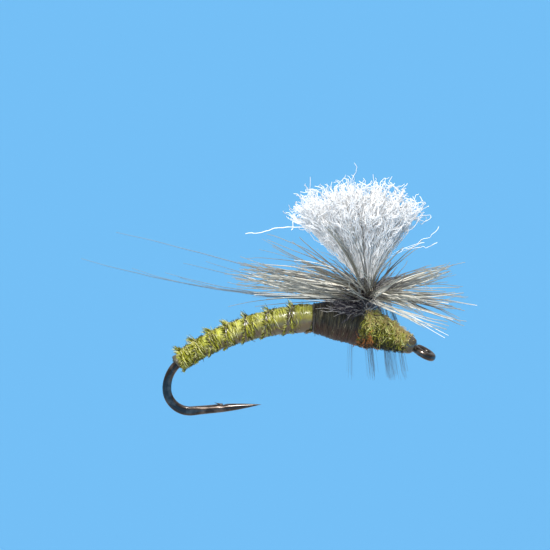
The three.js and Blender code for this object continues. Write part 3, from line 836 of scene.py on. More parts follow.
def biot_rings(steps_per_turn=44):
    """The quill's section swept forwards along its turns, with its angle and width at each ring."""
    turns = np.linspace(-0.8, BIOT_TURNS - 0.2, int((BIOT_TURNS + 0.6) * steps_per_turn))
    rear = np.maximum(biot_station(turns), ABDOMEN_REAR)
    front = np.minimum(biot_station(turns + 1), ABDOMEN_FRONT)
    along, share, height = (np.array(column) for column in zip(*BIOT_SECTION))
    rings = []
    for turn, low, high in zip(turns, rear, front):
        wide = max(0.02, high - low)
        fold = min(1.0, wide / 0.3)
        sway = 0.018 * math.sin(turn * 5.1) + 0.012 * math.sin(turn * 13.7)
        stations = low + sway + along * fold + share * wide
        stations = np.clip(stations, ABDOMEN_REAR - 0.06, ABDOMEN_FRONT)
        radii = biot_seat(stations) + height * mix(0.85, 1.15, turn / BIOT_TURNS)
        rings.append(round_wire(stations, radii, biot_angle(turn)))
    return turns, rings


def fringe(rng, per_turn, lift, lean, along_turn, length, spread=0.035, ahead=0.0, gather=1.2):
    """Short fibres along the quill's raised edge, or lying over the band ahead of it.

    lift, lean and along_turn are how far they stand up, lean forwards and lie along the turn, and
    gather draws them towards the rear.
    """
    count = int(per_turn * (BIOT_TURNS - 0.45))
    turns = 0.05 + (BIOT_TURNS - 0.45) * np.sort(rng.uniform(0, 1, count)) ** gather
    stations = biot_station(turns) + rng.normal(0.0, spread, count)
    width = biot_station(turns + 1) - biot_station(turns)
    stations += ahead * width * rng.uniform(0, 1, count) ** 1.5
    stations = np.clip(stations, ABDOMEN_REAR + 0.02, ABDOMEN_FRONT - 0.25)
    angles = biot_angle(turns)
    roots = round_wire(stations, biot_seat(stations) + FRINGE_HEIGHT, angles)
    forward, out, round_way = ways_round_wire(stations, angles)
    wind_way = -round_way
    top = smooth(np.cos(angles), -0.7, 0.8)
    size = length * rng.uniform(0.5, 1.2, count) * mix(0.7, 1.1, top)
    size *= mix(1.1, 0.95, np.clip(turns / BIOT_TURNS, 0, 1))
    size *= 1 + 0.35 * lift * smooth(np.cos(angles), 0.8, 1.0)
    stand = lift * mix(0.35, 1.0, top) + rng.normal(0, 0.12, count)
    way = out * np.maximum(stand, 0.0)[:, None]
    way += forward * (lean + rng.normal(0, 0.2, count))[:, None]
    way += wind_way * (along_turn + rng.normal(0, 0.25, count))[:, None]
    way /= np.linalg.norm(way, axis=1)[:, None]
    # The flat ones follow the body round.
    round_part = np.einsum("ij,ij->i", way, wind_way)
    radius = biot_seat(stations) + 0.12
    way = way * size[:, None] - out * ((round_part * size) ** 2 / (2 * radius))[:, None]
    bows = out * ((round_part * size) ** 2 / (8 * radius) + 0.05 * size)[:, None]
    return roots, way, bows, rng.uniform(0, 1, count)


def make_abdomen(quill, flue):
    turns, rings = biot_rings()
    skin = loft(rings)
    sides = len(BIOT_SECTION)
    along, share, _ = (np.array(column) for column in zip(*BIOT_SECTION))
    across = np.tile(np.clip(share + (along + 0.09) * 0.7, 0, 1), len(rings))
    # The under value drives painted shade: it grows underneath and towards the front.
    under = np.repeat(0.55 * (turns / BIOT_TURNS - 0.5) - np.cos(biot_angle(turns)), sides)
    values = {"across": [*across, 0, 1], "under": [*under, 0, 0]}
    fit(make_piece("biot_band", skin, quill, values), "olive_quill", "abdomen_biot")

    rng = np.random.default_rng(11)
    families = [
        fringe(rng, 260, 0.9, -0.6, 0.1, 0.29),
        fringe(rng, 290, 0.05, 0.12, -0.9, 0.45, 0.045, 0.5, 1.6),
        fringe(rng, 150, 0.03, -0.1, 0.9, 0.4, 0.06, 0.7, 1.9),
    ]
    fibres = [np.concatenate(column) for column in zip(*families)]
    girths = rng.uniform(0.5, 1.2, len(fibres[0]))
    hairs = grow("biot_fringe", fibres, flue, 0.019, 0.007, sections=6, crimp=(0.03, 0.25),
                 seed=3, girths=girths)
    fit(hairs, "olive_quill", "abdomen_biot")


# ---------------------------------------------------------------- wing post

POST_FOOT = on_wire(POST_STATION)[0][0]
NECK_HEIGHT = 2.95
TUFT_LENGTH = 5.55
TUFT_SPREAD = 48
TUFT_DEPTH = 0.74
TUFT_LEAN = 6.5
HEART_LENGTH = 2.5
BUTT_LENGTH = 1.4
BUTT_RADIUS = 0.54
BUTT_SPREAD = 75  # degrees, either side of the top
GOLDEN_ANGLE = math.pi * (3 - math.sqrt(5))
GOLDEN_SHARE = 0.618034


def above_post(x, y, z):
    return POST_FOOT + np.array([x, y, z])


def butt_rings(points=26):
    """The yarn's butts over the shank behind the post, thinned towards their cut ends."""
    spread = math.radians(BUTT_SPREAD)
    over = np.linspace(-spread, spread, points)
    rings = []
    for station in np.linspace(POST_STATION - BUTT_LENGTH, POST_STATION + POST_RADIUS, 24):
        bundle = BUTT_RADIUS * (1 + 0.02 * np.sin(over * 17 + station * 2))
        bundle -= 0.2 * smooth(POST_STATION - 0.9 - station, 0, 0.5)
        top = round_wire(np.full(points, station), bundle, over)
        under = round_wire(np.full(points, station), FOUNDATION_RADIUS + GAP, over[::-1])
        rings.append(np.concatenate([top, under]))
    return rings


def make_post_body(finish):
    """The yarn: butts lashed down on the shank, the upright post and the tuft's dense heart."""
    rng = np.random.default_rng(5)
    sides = 40
    angles = np.arange(sides) * TURN / sides
    grooves = 0.035 * rng.normal(size=sides)
    heights = np.concatenate([np.linspace(0.42, NECK_HEIGHT, 22),
                              NECK_HEIGHT + HEART_LENGTH * np.linspace(0.06, 0.99, 16)])
    upright = []
    for h in heights:
        beyond = max(0.0, h - NECK_HEIGHT)
        radius = (POST_RADIUS - 0.012) * (1 + 0.08 * smooth(h, NECK_HEIGHT - 0.3, NECK_HEIGHT))
        radius = (radius + 0.48 * beyond) * math.sqrt(1 - (beyond / HEART_LENGTH) ** 4)
        twist = angles + 0.25 * min(h, NECK_HEIGHT)
        flat = mix(1.0, TUFT_DEPTH, min(1.0, beyond))
        offset = np.stack([np.cos(twist), np.sin(twist) * flat, np.zeros(sides)], 1)
        rough = 1 + grooves * (1 + 1.5 * beyond)
        lean = -beyond * math.tan(math.radians(TUFT_LEAN))
        upright.append(above_post(lean, 0, h) + offset * (radius * rough)[:, None])
    skin = join(loft(upright), loft(butt_rings()))
    fit(make_piece("post_yarn", skin, finish), "white_yarn", "wing_post")


def tuft_tip(polar, around, reach):
    """A place on the tuft's dome, from the neck."""
    out = np.sin(polar) * reach
    x, y, z = out * np.cos(around), out * np.sin(around) * TUFT_DEPTH, np.cos(polar) * reach
    lean = math.radians(TUFT_LEAN)
    return np.stack([x * math.cos(lean) - z * math.sin(lean), y,
                     z * math.cos(lean) + x * math.sin(lean)], -1)


def tuft_fibres(rng, locks, per_lock, least, most, curl):
    """Locks of crimped fibres that open out from the post's neck to a ragged dome.

    least and most are the shortest and longest locks' shares of the reach, and curl the size of
    the curl at the ends.
    """
    share = (np.arange(locks) + 0.5) / locks
    polar = math.radians(TUFT_SPREAD) * share ** 0.52
    around = np.arange(locks) * GOLDEN_ANGLE + rng.normal(0, 0.15, locks)
    reach = TUFT_LENGTH * mix(least, most, rng.uniform(0, 1, locks) ** 0.6)
    # The side towards the bend is the fuller one.
    sideways = np.sin(polar) * np.cos(around) / math.sin(math.radians(TUFT_SPREAD))
    reach *= 1.01 - 0.09 * sideways + 0.04 * np.sin(math.pi * share) ** 2
    tips = tuft_tip(polar, around, reach)
    tips = np.repeat(tips, per_lock, 0)
    count = len(tips)
    tips += rng.normal(0, 0.12, (count, 3))
    tips *= rng.uniform(0.86, 1.0, count)[:, None]
    side = tips[:, :2] / np.maximum(np.linalg.norm(tips[:, :2], axis=1), 1e-6)[:, None]
    ring = (POST_RADIUS + 0.1) * rng.uniform(0.2, 1.0, count) ** 0.5
    roots = np.stack([side[:, 0] * ring, side[:, 1] * ring, rng.uniform(-0.4, 0.0, count)], 1)
    chords = tips - roots
    rise = np.linalg.norm(chords, axis=1)[:, None] * [[0, 0, 1]]
    bows = 0.035 * (rise - chords) * rng.uniform(0.2, 1.5, count)[:, None]
    roots += above_post(0, 0, NECK_HEIGHT)
    curls = np.repeat(rng.normal(0, curl, (locks, 3)), per_lock, 0)
    curls += rng.normal(0, curl / 2, (count, 3))
    return (roots, chords, bows, rng.uniform(0, 1, count)), curls


# Fibres that have worked loose: root, middle and tip, from the post's neck.
LOOSE_YARN = (
    ((1.3, -0.5, 1.0), (2.6, -0.6, 1.7), (3.65, -0.7, 2.5)),
    ((1.7, 0.3, 1.0), (2.9, 0.2, 1.3), (3.75, 0.1, 1.55)),
    ((1.2, -0.8, 0.9), (1.9, -0.9, 1.15), (2.7, -1.0, 1.4)),
)


def bunch(rng, rows, copies, spread):
    """Each row a few times over, its middle and tip shifted a little."""
    more = []
    for turn, middle, tip in rows:
        for _ in range(copies):
            shift = rng.normal(0, spread, 3)
            more.append((turn, np.array(middle) + shift / 2, np.array(tip) + shift))
    return more


def curved(paths, origin):
    """Fibres from roots, middles and tips."""
    root, middle, tip = (np.array(column, float) for column in zip(*paths))
    return root + origin, tip - root, middle - (root + tip) / 2


def make_tuft(finish):
    rng = np.random.default_rng(23)
    fibres, curls = tuft_fibres(rng, 170, 8, 0.5, 0.88, 0.1)
    body = grow("post_fibres", fibres, finish, 0.024, 0.018, sections=24,
                crimp=(0.2, 0.6), fine=(0.06, 0.2), seed=2, curls=curls)
    fit(body, "white_yarn", "wing_post")
    fibres, curls = tuft_fibres(rng, 140, 6, 0.84, 1.03, 0.27)
    rim = grow("post_rim_fibres", fibres, finish, 0.02, 0.017, sections=40,
               crimp=(0.28, 0.55), fine=(0.09, 0.18), seed=5, curls=curls)
    fit(rim, "white_yarn", "wing_post")
    neck = above_post(0, 0, NECK_HEIGHT)
    strand = (((-2.6, -0.3, 2.3), (-4.4, -0.4, 2.32), (-6.2, -0.5, 1.95)),)
    sets = (
        ("strand", strand, 0.028, 0.02, 0.12),
        ("loose_fibres", bunch(rng, LOOSE_YARN, 1, 0.14), 0.007, 0.017, 0.3),
    )
    for name, rows, root, tip, crimp in sets:
        roots, chords, bows = curved(rows, neck)
        tones = np.full(len(roots), 0.8)
        strands = grow(f"post_{name}", (roots, chords, bows, tones), finish, root, tip,
                       sections=30, sides=5, crimp=(crimp, 0.6), fine=(0.03, 0.25), seed=9)
        fit(strands, "white_yarn", "wing_post")


def post_rail(bottom, top, radius_at, count=30):
    heights = np.linspace(bottom, top, count)
    places = np.array([above_post(0, 0, h) for h in heights])
    return places, np.tile([1.0, 0.0, 0.0], (count, 1)), radius_at(heights)


# ---------------------------------------------------------------- hackle

TIE_OFF_BOTTOM = 1.276
COIL_BOTTOM = 1.486
STEM_TURNS = 4
STEM_PITCH = 0.165
STEM_RADIUS = 0.07
COIL_RADIUS = 0.53


def coil_point(turn):
    """A place on the stem's coil, from the post's foot."""
    angle = -np.asarray(turn, float) * TURN
    height = COIL_BOTTOM + np.asarray(turn, float) * STEM_PITCH
    return np.stack([COIL_RADIUS * np.cos(angle), COIL_RADIUS * np.sin(angle), height], -1)


def hackle_disk(rng, clumps=88, per_clump=5):
    """Barbs that stand out all round, in small clumps: longest and highest towards the bend."""
    turns = (np.arange(clumps) * GOLDEN_SHARE % 1) * STEM_TURNS
    heading = -turns * TURN + rng.normal(0.1, 0.1, clumps)
    # Few barbs are left on the near side, just ahead of the post, and the rest there stand up.
    near = np.exp(-((np.angle(np.exp(1j * (heading + 1.25))) / 0.7) ** 2))
    keep = rng.uniform(0, 1, clumps) > 0.65 * near
    turns, heading, near = turns[keep], heading[keep], near[keep]
    back = -np.cos(heading)
    ahead = smooth(-back, 0.2, 0.9)
    rise = 3.5 + 3 * np.maximum(back, 0) - 4.5 * ahead + 18 * near * (1 - ahead)
    even = rng.permutation(np.linspace(-22, 22, len(turns)))
    rise += mix(rng.normal(0, 6.5, len(turns)), even, ahead)
    low = 22 * np.maximum(0, -np.sin(heading)) * (1 - ahead) - 6 - 18 * ahead
    rise = np.maximum(rise, low)
    reach = 5.3 + 1.2 * back - 1.2 * near + rng.normal(0, 0.4, len(turns))
    reach += 0.7 * ahead * smooth(-rise, 2, 10)
    turns, heading, rise, reach = (np.repeat(v, per_clump) for v in (turns, heading, rise, reach))
    count = len(turns)
    turns = np.clip(turns + rng.normal(0, 0.05, count), 0, STEM_TURNS)
    heading = heading + rng.normal(0, 0.045, count)
    rise = np.radians(rise + rng.normal(0, 2.2, count))
    reach = reach * rng.uniform(0.78, 1.08, count)
    way = [np.cos(heading) * np.cos(rise), np.sin(heading) * np.cos(rise), np.sin(rise)]
    chords = np.stack(way, 1) * reach[:, None]
    bows = rng.normal(0, 0.035, (count, 3)) * reach[:, None] + [0, 0, 0.05]
    tones = rng.uniform(0.05, 0.84, count // per_clump)
    tones = np.repeat(tones, per_clump) + rng.normal(0, 0.1, count)
    # Painted highlights: some barbs, more of them among the low ones, take tone 0.97, an ivory
    # highlight colour.
    pale = 0.15 + 0.15 * (rise < np.radians(5))
    tones = np.where(rng.uniform(0, 1, count) < pale, 0.97, np.clip(tones, 0, 0.86))
    return coil_point(turns) + POST_FOOT, chords, bows, tones


# Barbs out of the ordinary, from the post's foot: root turn, middle and tip.
UPRIGHT_BARBS = (
    (3.35, (-1.0, -1.35, 3.7), (-2.64, -1.7, 5.9)),
    (3.35, (-0.9, -1.25, 3.7), (-2.2, -1.75, 5.6)),
    (3.3, (-0.3, -1.7, 3.6), (-1.1, -2.6, 5.6)),
    (3.4, (-1.5, -0.9, 3.2), (-3.3, -1.2, 5.0)),
    (3.45, (-1.9, -0.5, 3.1), (-3.9, -0.9, 4.6)),
    (3.5, (-2.3, -0.4, 3.0), (-4.9, -0.8, 4.4)),
    (3.2, (0.5, -1.1, 3.1), (1.4, -1.4, 4.5)),
    (3.15, (0.8, -0.9, 3.1), (1.9, -1.2, 4.4)),
    (3.0, (1.3, 0.5, 3.0), (2.9, 1.0, 4.2)),
)
TRAILING_BARBS = (
    (0.5, (-7.8, 1.75, 1.82), (-15.15, 3.4, 3.2)),
    (0.4, (-6.2, 1.25, 3.1), (-13.2, 2.6, 4.75)),
    (0.6, (-6.7, 1.5, 1.65), (-12.4, 3.0, 2.7)),
    (0.5, (-5.4, 1.2, 1.5), (-9.8, 2.2, 2.35)),
    (0.45, (-5.6, 1.3, 1.65), (-10.6, 2.3, 2.6)),
    (0.5, (-5.0, 1.0, 1.6), (-9.0, 1.8, 2.0)),
    (0.4, (-4.9, 0.9, 2.2), (-9.6, 1.7, 3.2)),
    (0.4, (-4.6, 0.8, 2.3), (-8.4, 1.5, 3.3)),
)
# Barbs painted as bright highlight streaks, from the post's foot: root turn, middle and tip.
PAINTED_HIGHLIGHT_BARBS = (
    (0.6, (-2.97, -0.5, 1.86), (-6.0, -0.8, 2.86)),
    (0.55, (-3.0, -0.6, 1.82), (-5.9, -1.0, 1.98)),
    (0.5, (-2.2, -0.6, 2.0), (-4.7, -0.9, 2.65)),
    (0.62, (-1.6, -0.8, 1.6), (-3.3, -1.1, 1.8)),
    (3.5, (-1.5, -0.6, 3.05), (-3.6, -1.0, 3.5)),
    (0.12, (1.95, -0.8, 1.2), (4.3, -1.5, 0.5)),
    (0.1, (2.1, -0.4, 1.6), (4.3, -0.6, 1.4)),
    (0.15, (1.9, -0.9, 0.95), (4.15, -1.6, -0.15)),
    (0.05, (2.8, -0.3, 1.65), (5.75, -0.5, 1.25)),
    (0.18, (1.25, -0.8, 1.05), (2.7, -1.3, 0.35)),
)


def hackle_web(rng, count=640):
    """Short webby fibres: round the barbs' roots, and swept back over the thorax from below them."""
    turns = rng.uniform(0, STEM_TURNS, count)
    heading = rng.normal(0, 0.6, count) - turns * TURN
    swept = rng.uniform(0, 1, count) < 0.55
    heading = np.where(swept, rng.normal(math.pi + 0.5, 0.6, count), heading)
    turns = np.where(swept, (-heading / TURN) % 1, turns)
    rise = np.where(swept, rng.normal(0.2, 0.16, count), rng.normal(0.05, 0.35, count))
    reach = np.where(swept, rng.uniform(0.6, 2.2, count), rng.uniform(0.3, 1.3, count))
    way = [np.cos(heading) * np.cos(rise), np.sin(heading) * np.cos(rise), np.sin(rise)]
    chords = np.stack(way, 1) * reach[:, None]
    bows = rng.normal(0, 0.05, (count, 3)) + [0, 0, 0.04]
    roots = coil_point(turns) + POST_FOOT
    # The lowest start on the thorax's side.
    drop = np.where(swept, rng.uniform(0.05, 0.75, count), 0)
    roots[:, 2] -= drop
    roots[:, 1] -= 0.7 * drop * np.sign(-np.sin(heading))
    return roots, chords, bows, rng.uniform(0, 1, count)


def hanging_rows(rng):
    """Three wisps of soft barbs that hang behind the thorax: rows as the tables above hold."""
    rows = []
    wisps = ((-0.76, 0.03, 0.03, 7), (0.0, 0.18, 0.45, 34), (1.15, 0.55, 0.6, 70))
    for ahead, spread, onward, count in wisps:
        for _ in range(count):
            x = ahead + spread * (2 * rng.uniform(0, 1) ** 1.3 - 1)
            out, down = rng.uniform(1.5, 3.2), 3.35 - rng.uniform(0, 0.6)
            down -= 0.13 * (2.9 - out)
            tip = (x + onward + rng.normal(0, 0.08), out + 0.2, -down)
            rows.append((0.25, (x * 0.8, out * 0.9, 1.0), tip))
    return rows


def barbs_along(rows):
    paths = [(coil_point(turn), middle, tip) for turn, middle, tip in rows]
    return curved(paths, POST_FOOT)


def make_hackle(finish, highlight_finish, soft_finish, web_finish, stem_finish):
    rng = np.random.default_rng(31)
    rail = post_rail(COIL_BOTTOM, COIL_BOTTOM + STEM_TURNS * STEM_PITCH, level(COIL_RADIUS))
    stem = wind("hackle_stem", rail, STEM_TURNS, STEM_RADIUS, stem_finish, hand=-1,
                uneven=0.012, steps=36, sides=10)
    fit(stem, "dun_feather", "hackle")

    disk = hackle_disk(rng)
    # Barbs with the painted highlight tone are drawn thicker.
    girths = rng.uniform(0.65, 1.25, len(disk[0])) * np.where(disk[3] > 0.9, 1.35, 1.0)
    disk = grow("hackle_barbs", disk, finish, 0.034, 0.013, sections=14, sides=4,
                crimp=(0.1, 2.2), fine=(0.012, 0.5), seed=4, girths=girths)
    fit(disk, "dun_feather", "hackle")
    sets = (
        ("upright", bunch(rng, UPRIGHT_BARBS, 2, 0.1), finish, 0.05, 0.1, 0.45),
        # The pale set holds barbs painted as bright highlight streaks.
        ("pale", bunch(rng, PAINTED_HIGHLIGHT_BARBS, 2, 0.12), highlight_finish, 0.04, 0.1, 1.0),
        ("trailing", TRAILING_BARBS, soft_finish, 0.046, 0.1, 0.9),
        ("hanging", hanging_rows(rng), soft_finish, 0.013, 0.0, 0.7),
    )
    for name, rows, colour, thick, darkest, palest in sets:
        roots, chords, bows = barbs_along(rows)
        tones = rng.uniform(darkest, palest, len(roots))
        barbs = grow(f"hackle_{name}_barbs", (roots, chords, bows, tones), colour, thick,
                     0.3 * thick, sections=24, sides=5, crimp=(0.05, 2.0), seed=6)
        fit(barbs, "dun_feather", "hackle")
    web = grow("hackle_web", hackle_web(rng), web_finish, 0.02, 0.008, sections=7,
               crimp=(0.08, 0.4), seed=8)
    fit(web, "dun_feather", "hackle")


# ---------------------------------------------------------------- thorax


WINDING_SEAT = 0.67
WINDING_THICKNESS = (0.12, 0.37)  # at the rear and over the yarn's butts
DUBBING_RADIUS = (1.025, 0.575)  # at the rear and the front


def winding_radius(station):
    share = (station - WINDING_REAR) / WINDING_LENGTH
    return WINDING_SEAT + mix(*WINDING_THICKNESS, smooth(share, 0, 0.55))


def make_winding(core_finish, thread, flue):
    stations = np.linspace(WINDING_REAR - 0.03, WINDING_FRONT, 30)
    outer = [(s, winding_radius(s) - 0.05) for s in stations]
    inner = [(s, WINDING_SEAT - 0.01) for s in stations]
    core = make_piece("winding_core", sleeve(outer, inner), core_finish)
    fit(core, "dark_thread", "thorax_winding")

    rail = shank_rail(WINDING_REAR + 0.04, WINDING_FRONT - 0.04, lambda s: winding_radius(s) - 0.05)
    first = wind("winding_under_layer", rail, 36, 0.042, thread, uneven=0.012, seed=1)
    fit(first, "dark_thread", "thorax_winding")
    rail = shank_rail(WINDING_FRONT - 0.05, WINDING_REAR + 0.05, lambda s: winding_radius(s) - 0.022)
    second = wind("winding_top_layer", rail, 27, 0.03, thread, uneven=0.04, seed=7)
    fit(second, "dark_thread", "thorax_winding")

    rng = np.random.default_rng(41)
    count = 700
    stations = rng.uniform(WINDING_REAR + 0.05, WINDING_FRONT - 0.05, count)
    angles = rng.uniform(0, TURN, count)
    roots = round_wire(stations, winding_radius(stations) - 0.02, angles)
    forward, out, round_way = ways_round_wire(stations, angles)
    length = rng.uniform(0.3, 0.9, count)
    radius = winding_radius(stations)
    way = round_way * length[:, None] + forward * (length * rng.normal(0, 0.1, count))[:, None]
    way -= out * (length ** 2 / (2 * radius))[:, None]
    bows = out * (length ** 2 / (8 * radius) + 0.012)[:, None]
    hairs = grow("winding_flue", (roots, way, bows, rng.uniform(0, 1, count)),
                 flue, 0.015, 0.007, sections=8, crimp=(0.012, 0.4), seed=12)
    fit(hairs, "dark_thread", "thorax_winding")


def dubbing_radius(station):
    share = np.clip((station - DUBBING_REAR) / (DUBBING_FRONT - DUBBING_REAR), 0, 1)
    return mix(*DUBBING_RADIUS, share ** 1.3)


def make_dubbing(core_finish, fur):
    rng = np.random.default_rng(53)
    rings, sides = 34, 56
    stations = np.linspace(DUBBING_REAR, DUBBING_FRONT, rings)
    outer = [(s, dubbing_radius(s) - 0.09) for s in stations]
    inner = [(s, 0.6 if s < POST_STATION + 0.85 else HEAD_SEAT) for s in stations]
    corners, faces, uvs = sleeve(outer, inner, sides)
    corners = np.asarray(corners)
    lumps = rng.normal(0, 0.02, (rings, sides, 1))
    middle = on_wire(stations)[0][:, None]
    skin = corners[:rings * sides].reshape(rings, sides, 3)
    corners[:rings * sides] = (skin + (skin - middle) * lumps).reshape(-1, 3)
    core = make_piece("dubbing_core", (corners, faces, uvs), core_finish)
    fit(core, "olive_dubbing", "thorax_dubbing")

    count = 3000
    stations = rng.uniform(DUBBING_REAR + 0.02, HEAD_REAR + 0.4, count)
    angles = rng.uniform(0, TURN, count)
    forward, out, round_way = ways_round_wire(stations, angles)
    radius = np.where(stations < DUBBING_FRONT, dubbing_radius(stations), head_radius(stations))
    roots = round_wire(stations, radius - rng.uniform(0.02, 0.13, count), angles)
    length = rng.uniform(0.2, 0.62, count) * np.where(stations < DUBBING_FRONT, 1, 0.6)
    way = round_way * rng.normal(0.5, 0.75, count)[:, None]
    way += forward * rng.normal(0.0, 0.6, count)[:, None]
    way /= np.linalg.norm(way, axis=1)[:, None]
    way = way * length[:, None] - out * (length ** 2 / (2.6 * radius))[:, None]
    bows = out * (0.05 + length ** 2 * 0.15)[:, None] + rng.normal(0, 0.05, (count, 3))
    curls = rng.normal(0, 0.09, (count, 3))
    behind = stations - DUBBING_REAR
    low = smooth(-np.cos(angles), -0.1, 0.9)
    rusty = smooth(-np.cos(angles), 0.0, 0.7) * (1 - smooth(behind, 0.5, 1.7))
    lit = smooth(np.cos(angles), 0.1, 0.9)
    patch = np.sin(behind * 7.3 + angles * 2.1) * np.sin(angles * 5.3 - behind * 4.1)
    # Painted light and shade: tones are lighter on top and towards the front, darker underneath.
    tones = 0.4 + 0.42 * lit - 0.44 * low + 0.16 * patch + rng.normal(0, 0.21, count)
    tones += 0.1 * smooth(behind, 1.2, 2.0) * (1 - low)
    tones = np.clip(tones, 0.02, 0.86)
    tones = np.where(rng.uniform(0, 1, count) < 0.4 * rusty, 0.97, tones)
    hairs = grow("dubbing_fibres", (roots, way, bows, tones), fur, 0.021, 0.009, sections=8,
                 crimp=(0.09, 0.3), fine=(0.02, 0.12), seed=14,
                 girths=rng.uniform(0.5, 1.5, count), curls=curls)
    fit(hairs, "olive_dubbing", "thorax_dubbing")


# ---------------------------------------------------------------- head


HEAD_SEAT = 0.315
HEAD_THICKNESS = (0.22, 0.03)  # at the rear and the front


def head_radius(station):
    share = np.clip((station - HEAD_REAR) / HEAD_LENGTH, 0, 1)
    return HEAD_SEAT + mix(*HEAD_THICKNESS, share ** 1.6)


def make_head(thread, clear):
    rail = shank_rail(HEAD_REAR + 0.03, HEAD_FRONT - 0.03, lambda s: head_radius(s) - 0.045)
    fit(wind("head_thread", rail, 12, 0.045, thread, uneven=0.006), "olive_thread", "thread_head")
    stations = np.linspace(HEAD_FRONT - 0.5, HEAD_FRONT + 0.14, 24)
    bulge = 0.02 + 0.03 * np.sin(np.linspace(0, math.pi, 24))
    drop = 0.16 * smooth(stations, HEAD_FRONT - 0.06, HEAD_FRONT + 0.14)
    outer = [(s, head_radius(s) + b - d) for s, b, d in zip(stations, bulge, drop)]
    inner = [(s, head_radius(s) + 0.008 - 1.3 * d) for s, d in zip(stations, drop)]
    fit(make_piece("head_varnish", sleeve(outer, inner), clear), "head_varnish", "head_cement")


# ---------------------------------------------------------------- hidden windings


def make_hidden(olive, floss):
    """The windings under the other materials, each of real thread."""
    rail = shank_rail(ABDOMEN_REAR - 0.12, HEAD_FRONT, level(0.27), 90)
    foundation = wind("foundation_thread", rail, 124, 0.052, olive, steps=18, sides=5)
    fit(foundation, "olive_thread", "thread_foundation")
    rail = shank_rail(ABDOMEN_REAR + 1.3, ABDOMEN_FRONT - 0.05, lambda s: biot_seat(s) - 0.1, 80)
    underbody = wind("underbody_floss", rail, 52, 0.065, floss, steps=20, sides=5)
    fit(underbody, "pale_floss", "abdomen_underbody")
    rear, front = WINDING_FRONT, POST_STATION + POST_RADIUS
    # Each set of wraps: its piece, its node, where it starts and ends, radius, turns and thread.
    wraps = (
        ("tie_in", "biot_tie_in_wraps", ABDOMEN_REAR + 0.03, ABDOMEN_REAR + 0.5, 0.325, 8, 0.02),
        ("butt", "biot_butt_wraps", WINDING_REAR + 0.1, WINDING_REAR + 0.9, 0.5, 9, 0.07),
        ("rear_lashing", "wing_lashing_rear", rear - 1.07, rear - 0.03, 0.6, 16, 0.035),
        ("front_lashing", "wing_lashing_front", front + 0.05, front + 0.42, 0.355, 6, 0.035),
    )
    for name, node, low, high, radius, turns, thread in wraps:
        rail = shank_rail(low, high, level(radius))
        fit(wind(f"{name}_thread", rail, turns, thread, olive), "olive_thread", node)


def make_post_threads(grey):
    rail = post_rail(TIE_OFF_BOTTOM - 0.25, NECK_HEIGHT - 0.12, level(0.395))
    fit(wind("post_thread", rail, 19, 0.045, grey, hand=-1, uneven=0.008), "grey_thread",
        "post_base_wraps")
    rail = post_rail(TIE_OFF_BOTTOM + 0.03, TIE_OFF_BOTTOM + 0.1, lambda h: 0.49 + 0.08 * (h - h[0]))
    fit(wind("tie_off_thread", rail, 3, 0.035, grey, hand=-1, uneven=0.01), "grey_thread",
        "hackle_tie_off_wraps")


# ---------------------------------------------------------------- setting


def look_at(thing, place, target):
    thing.location = place
    way = np.asarray(target) - np.asarray(place)
    flat = math.hypot(way[0], way[1])
    thing.rotation_euler = (math.atan2(flat, -way[2]), 0, math.atan2(-way[0], way[1]))


LENS = 150
AIM = np.array([4.46, 0.0, 7.19]) * MM
CAMERA_RISE = math.radians(7.5)
CAMERA_DISTANCE = 0.1192


def make_camera():
    """A long lens a little above the fly, square to the hook."""
    lens = bpy.data.cameras.new("camera")
    lens.lens = LENS
    lens.clip_start, lens.clip_end = 0.005, 50
    camera = bpy.data.objects.new("camera", lens)
    bpy.context.scene.collection.objects.link(camera)
    bpy.context.scene.camera = camera
    away = np.array([0, -math.cos(CAMERA_RISE), math.sin(CAMERA_RISE)])
    look_at(camera, AIM + CAMERA_DISTANCE * away, AIM)


FLOOR_UNDER = (0.3, 0.31, 0.32)
FLOOR_BEYOND = (0.103, 0.308, 0.55)
# In metres: how far from the fly the floor starts to turn blue and is blue, its level and half size.
FLOOR_TURNS_BLUE = (0.055, 0.086)
FLOOR_LEVEL = -0.03
FLOOR_HALF = 8.0


def make_sun(name, place, strength, spread, colour, shines=True):
    """A soft distant lamp; one that doesn't shine leaves no highlight."""
    lamp = bpy.data.lights.new(name, "SUN")
    lamp.energy = strength
    lamp.angle = math.radians(spread)
    lamp.color = colour
    sun = bpy.data.objects.new(name, lamp)
    bpy.context.scene.collection.objects.link(sun)
    look_at(sun, place, (0, 0, 0))
    sun.visible_glossy = shines


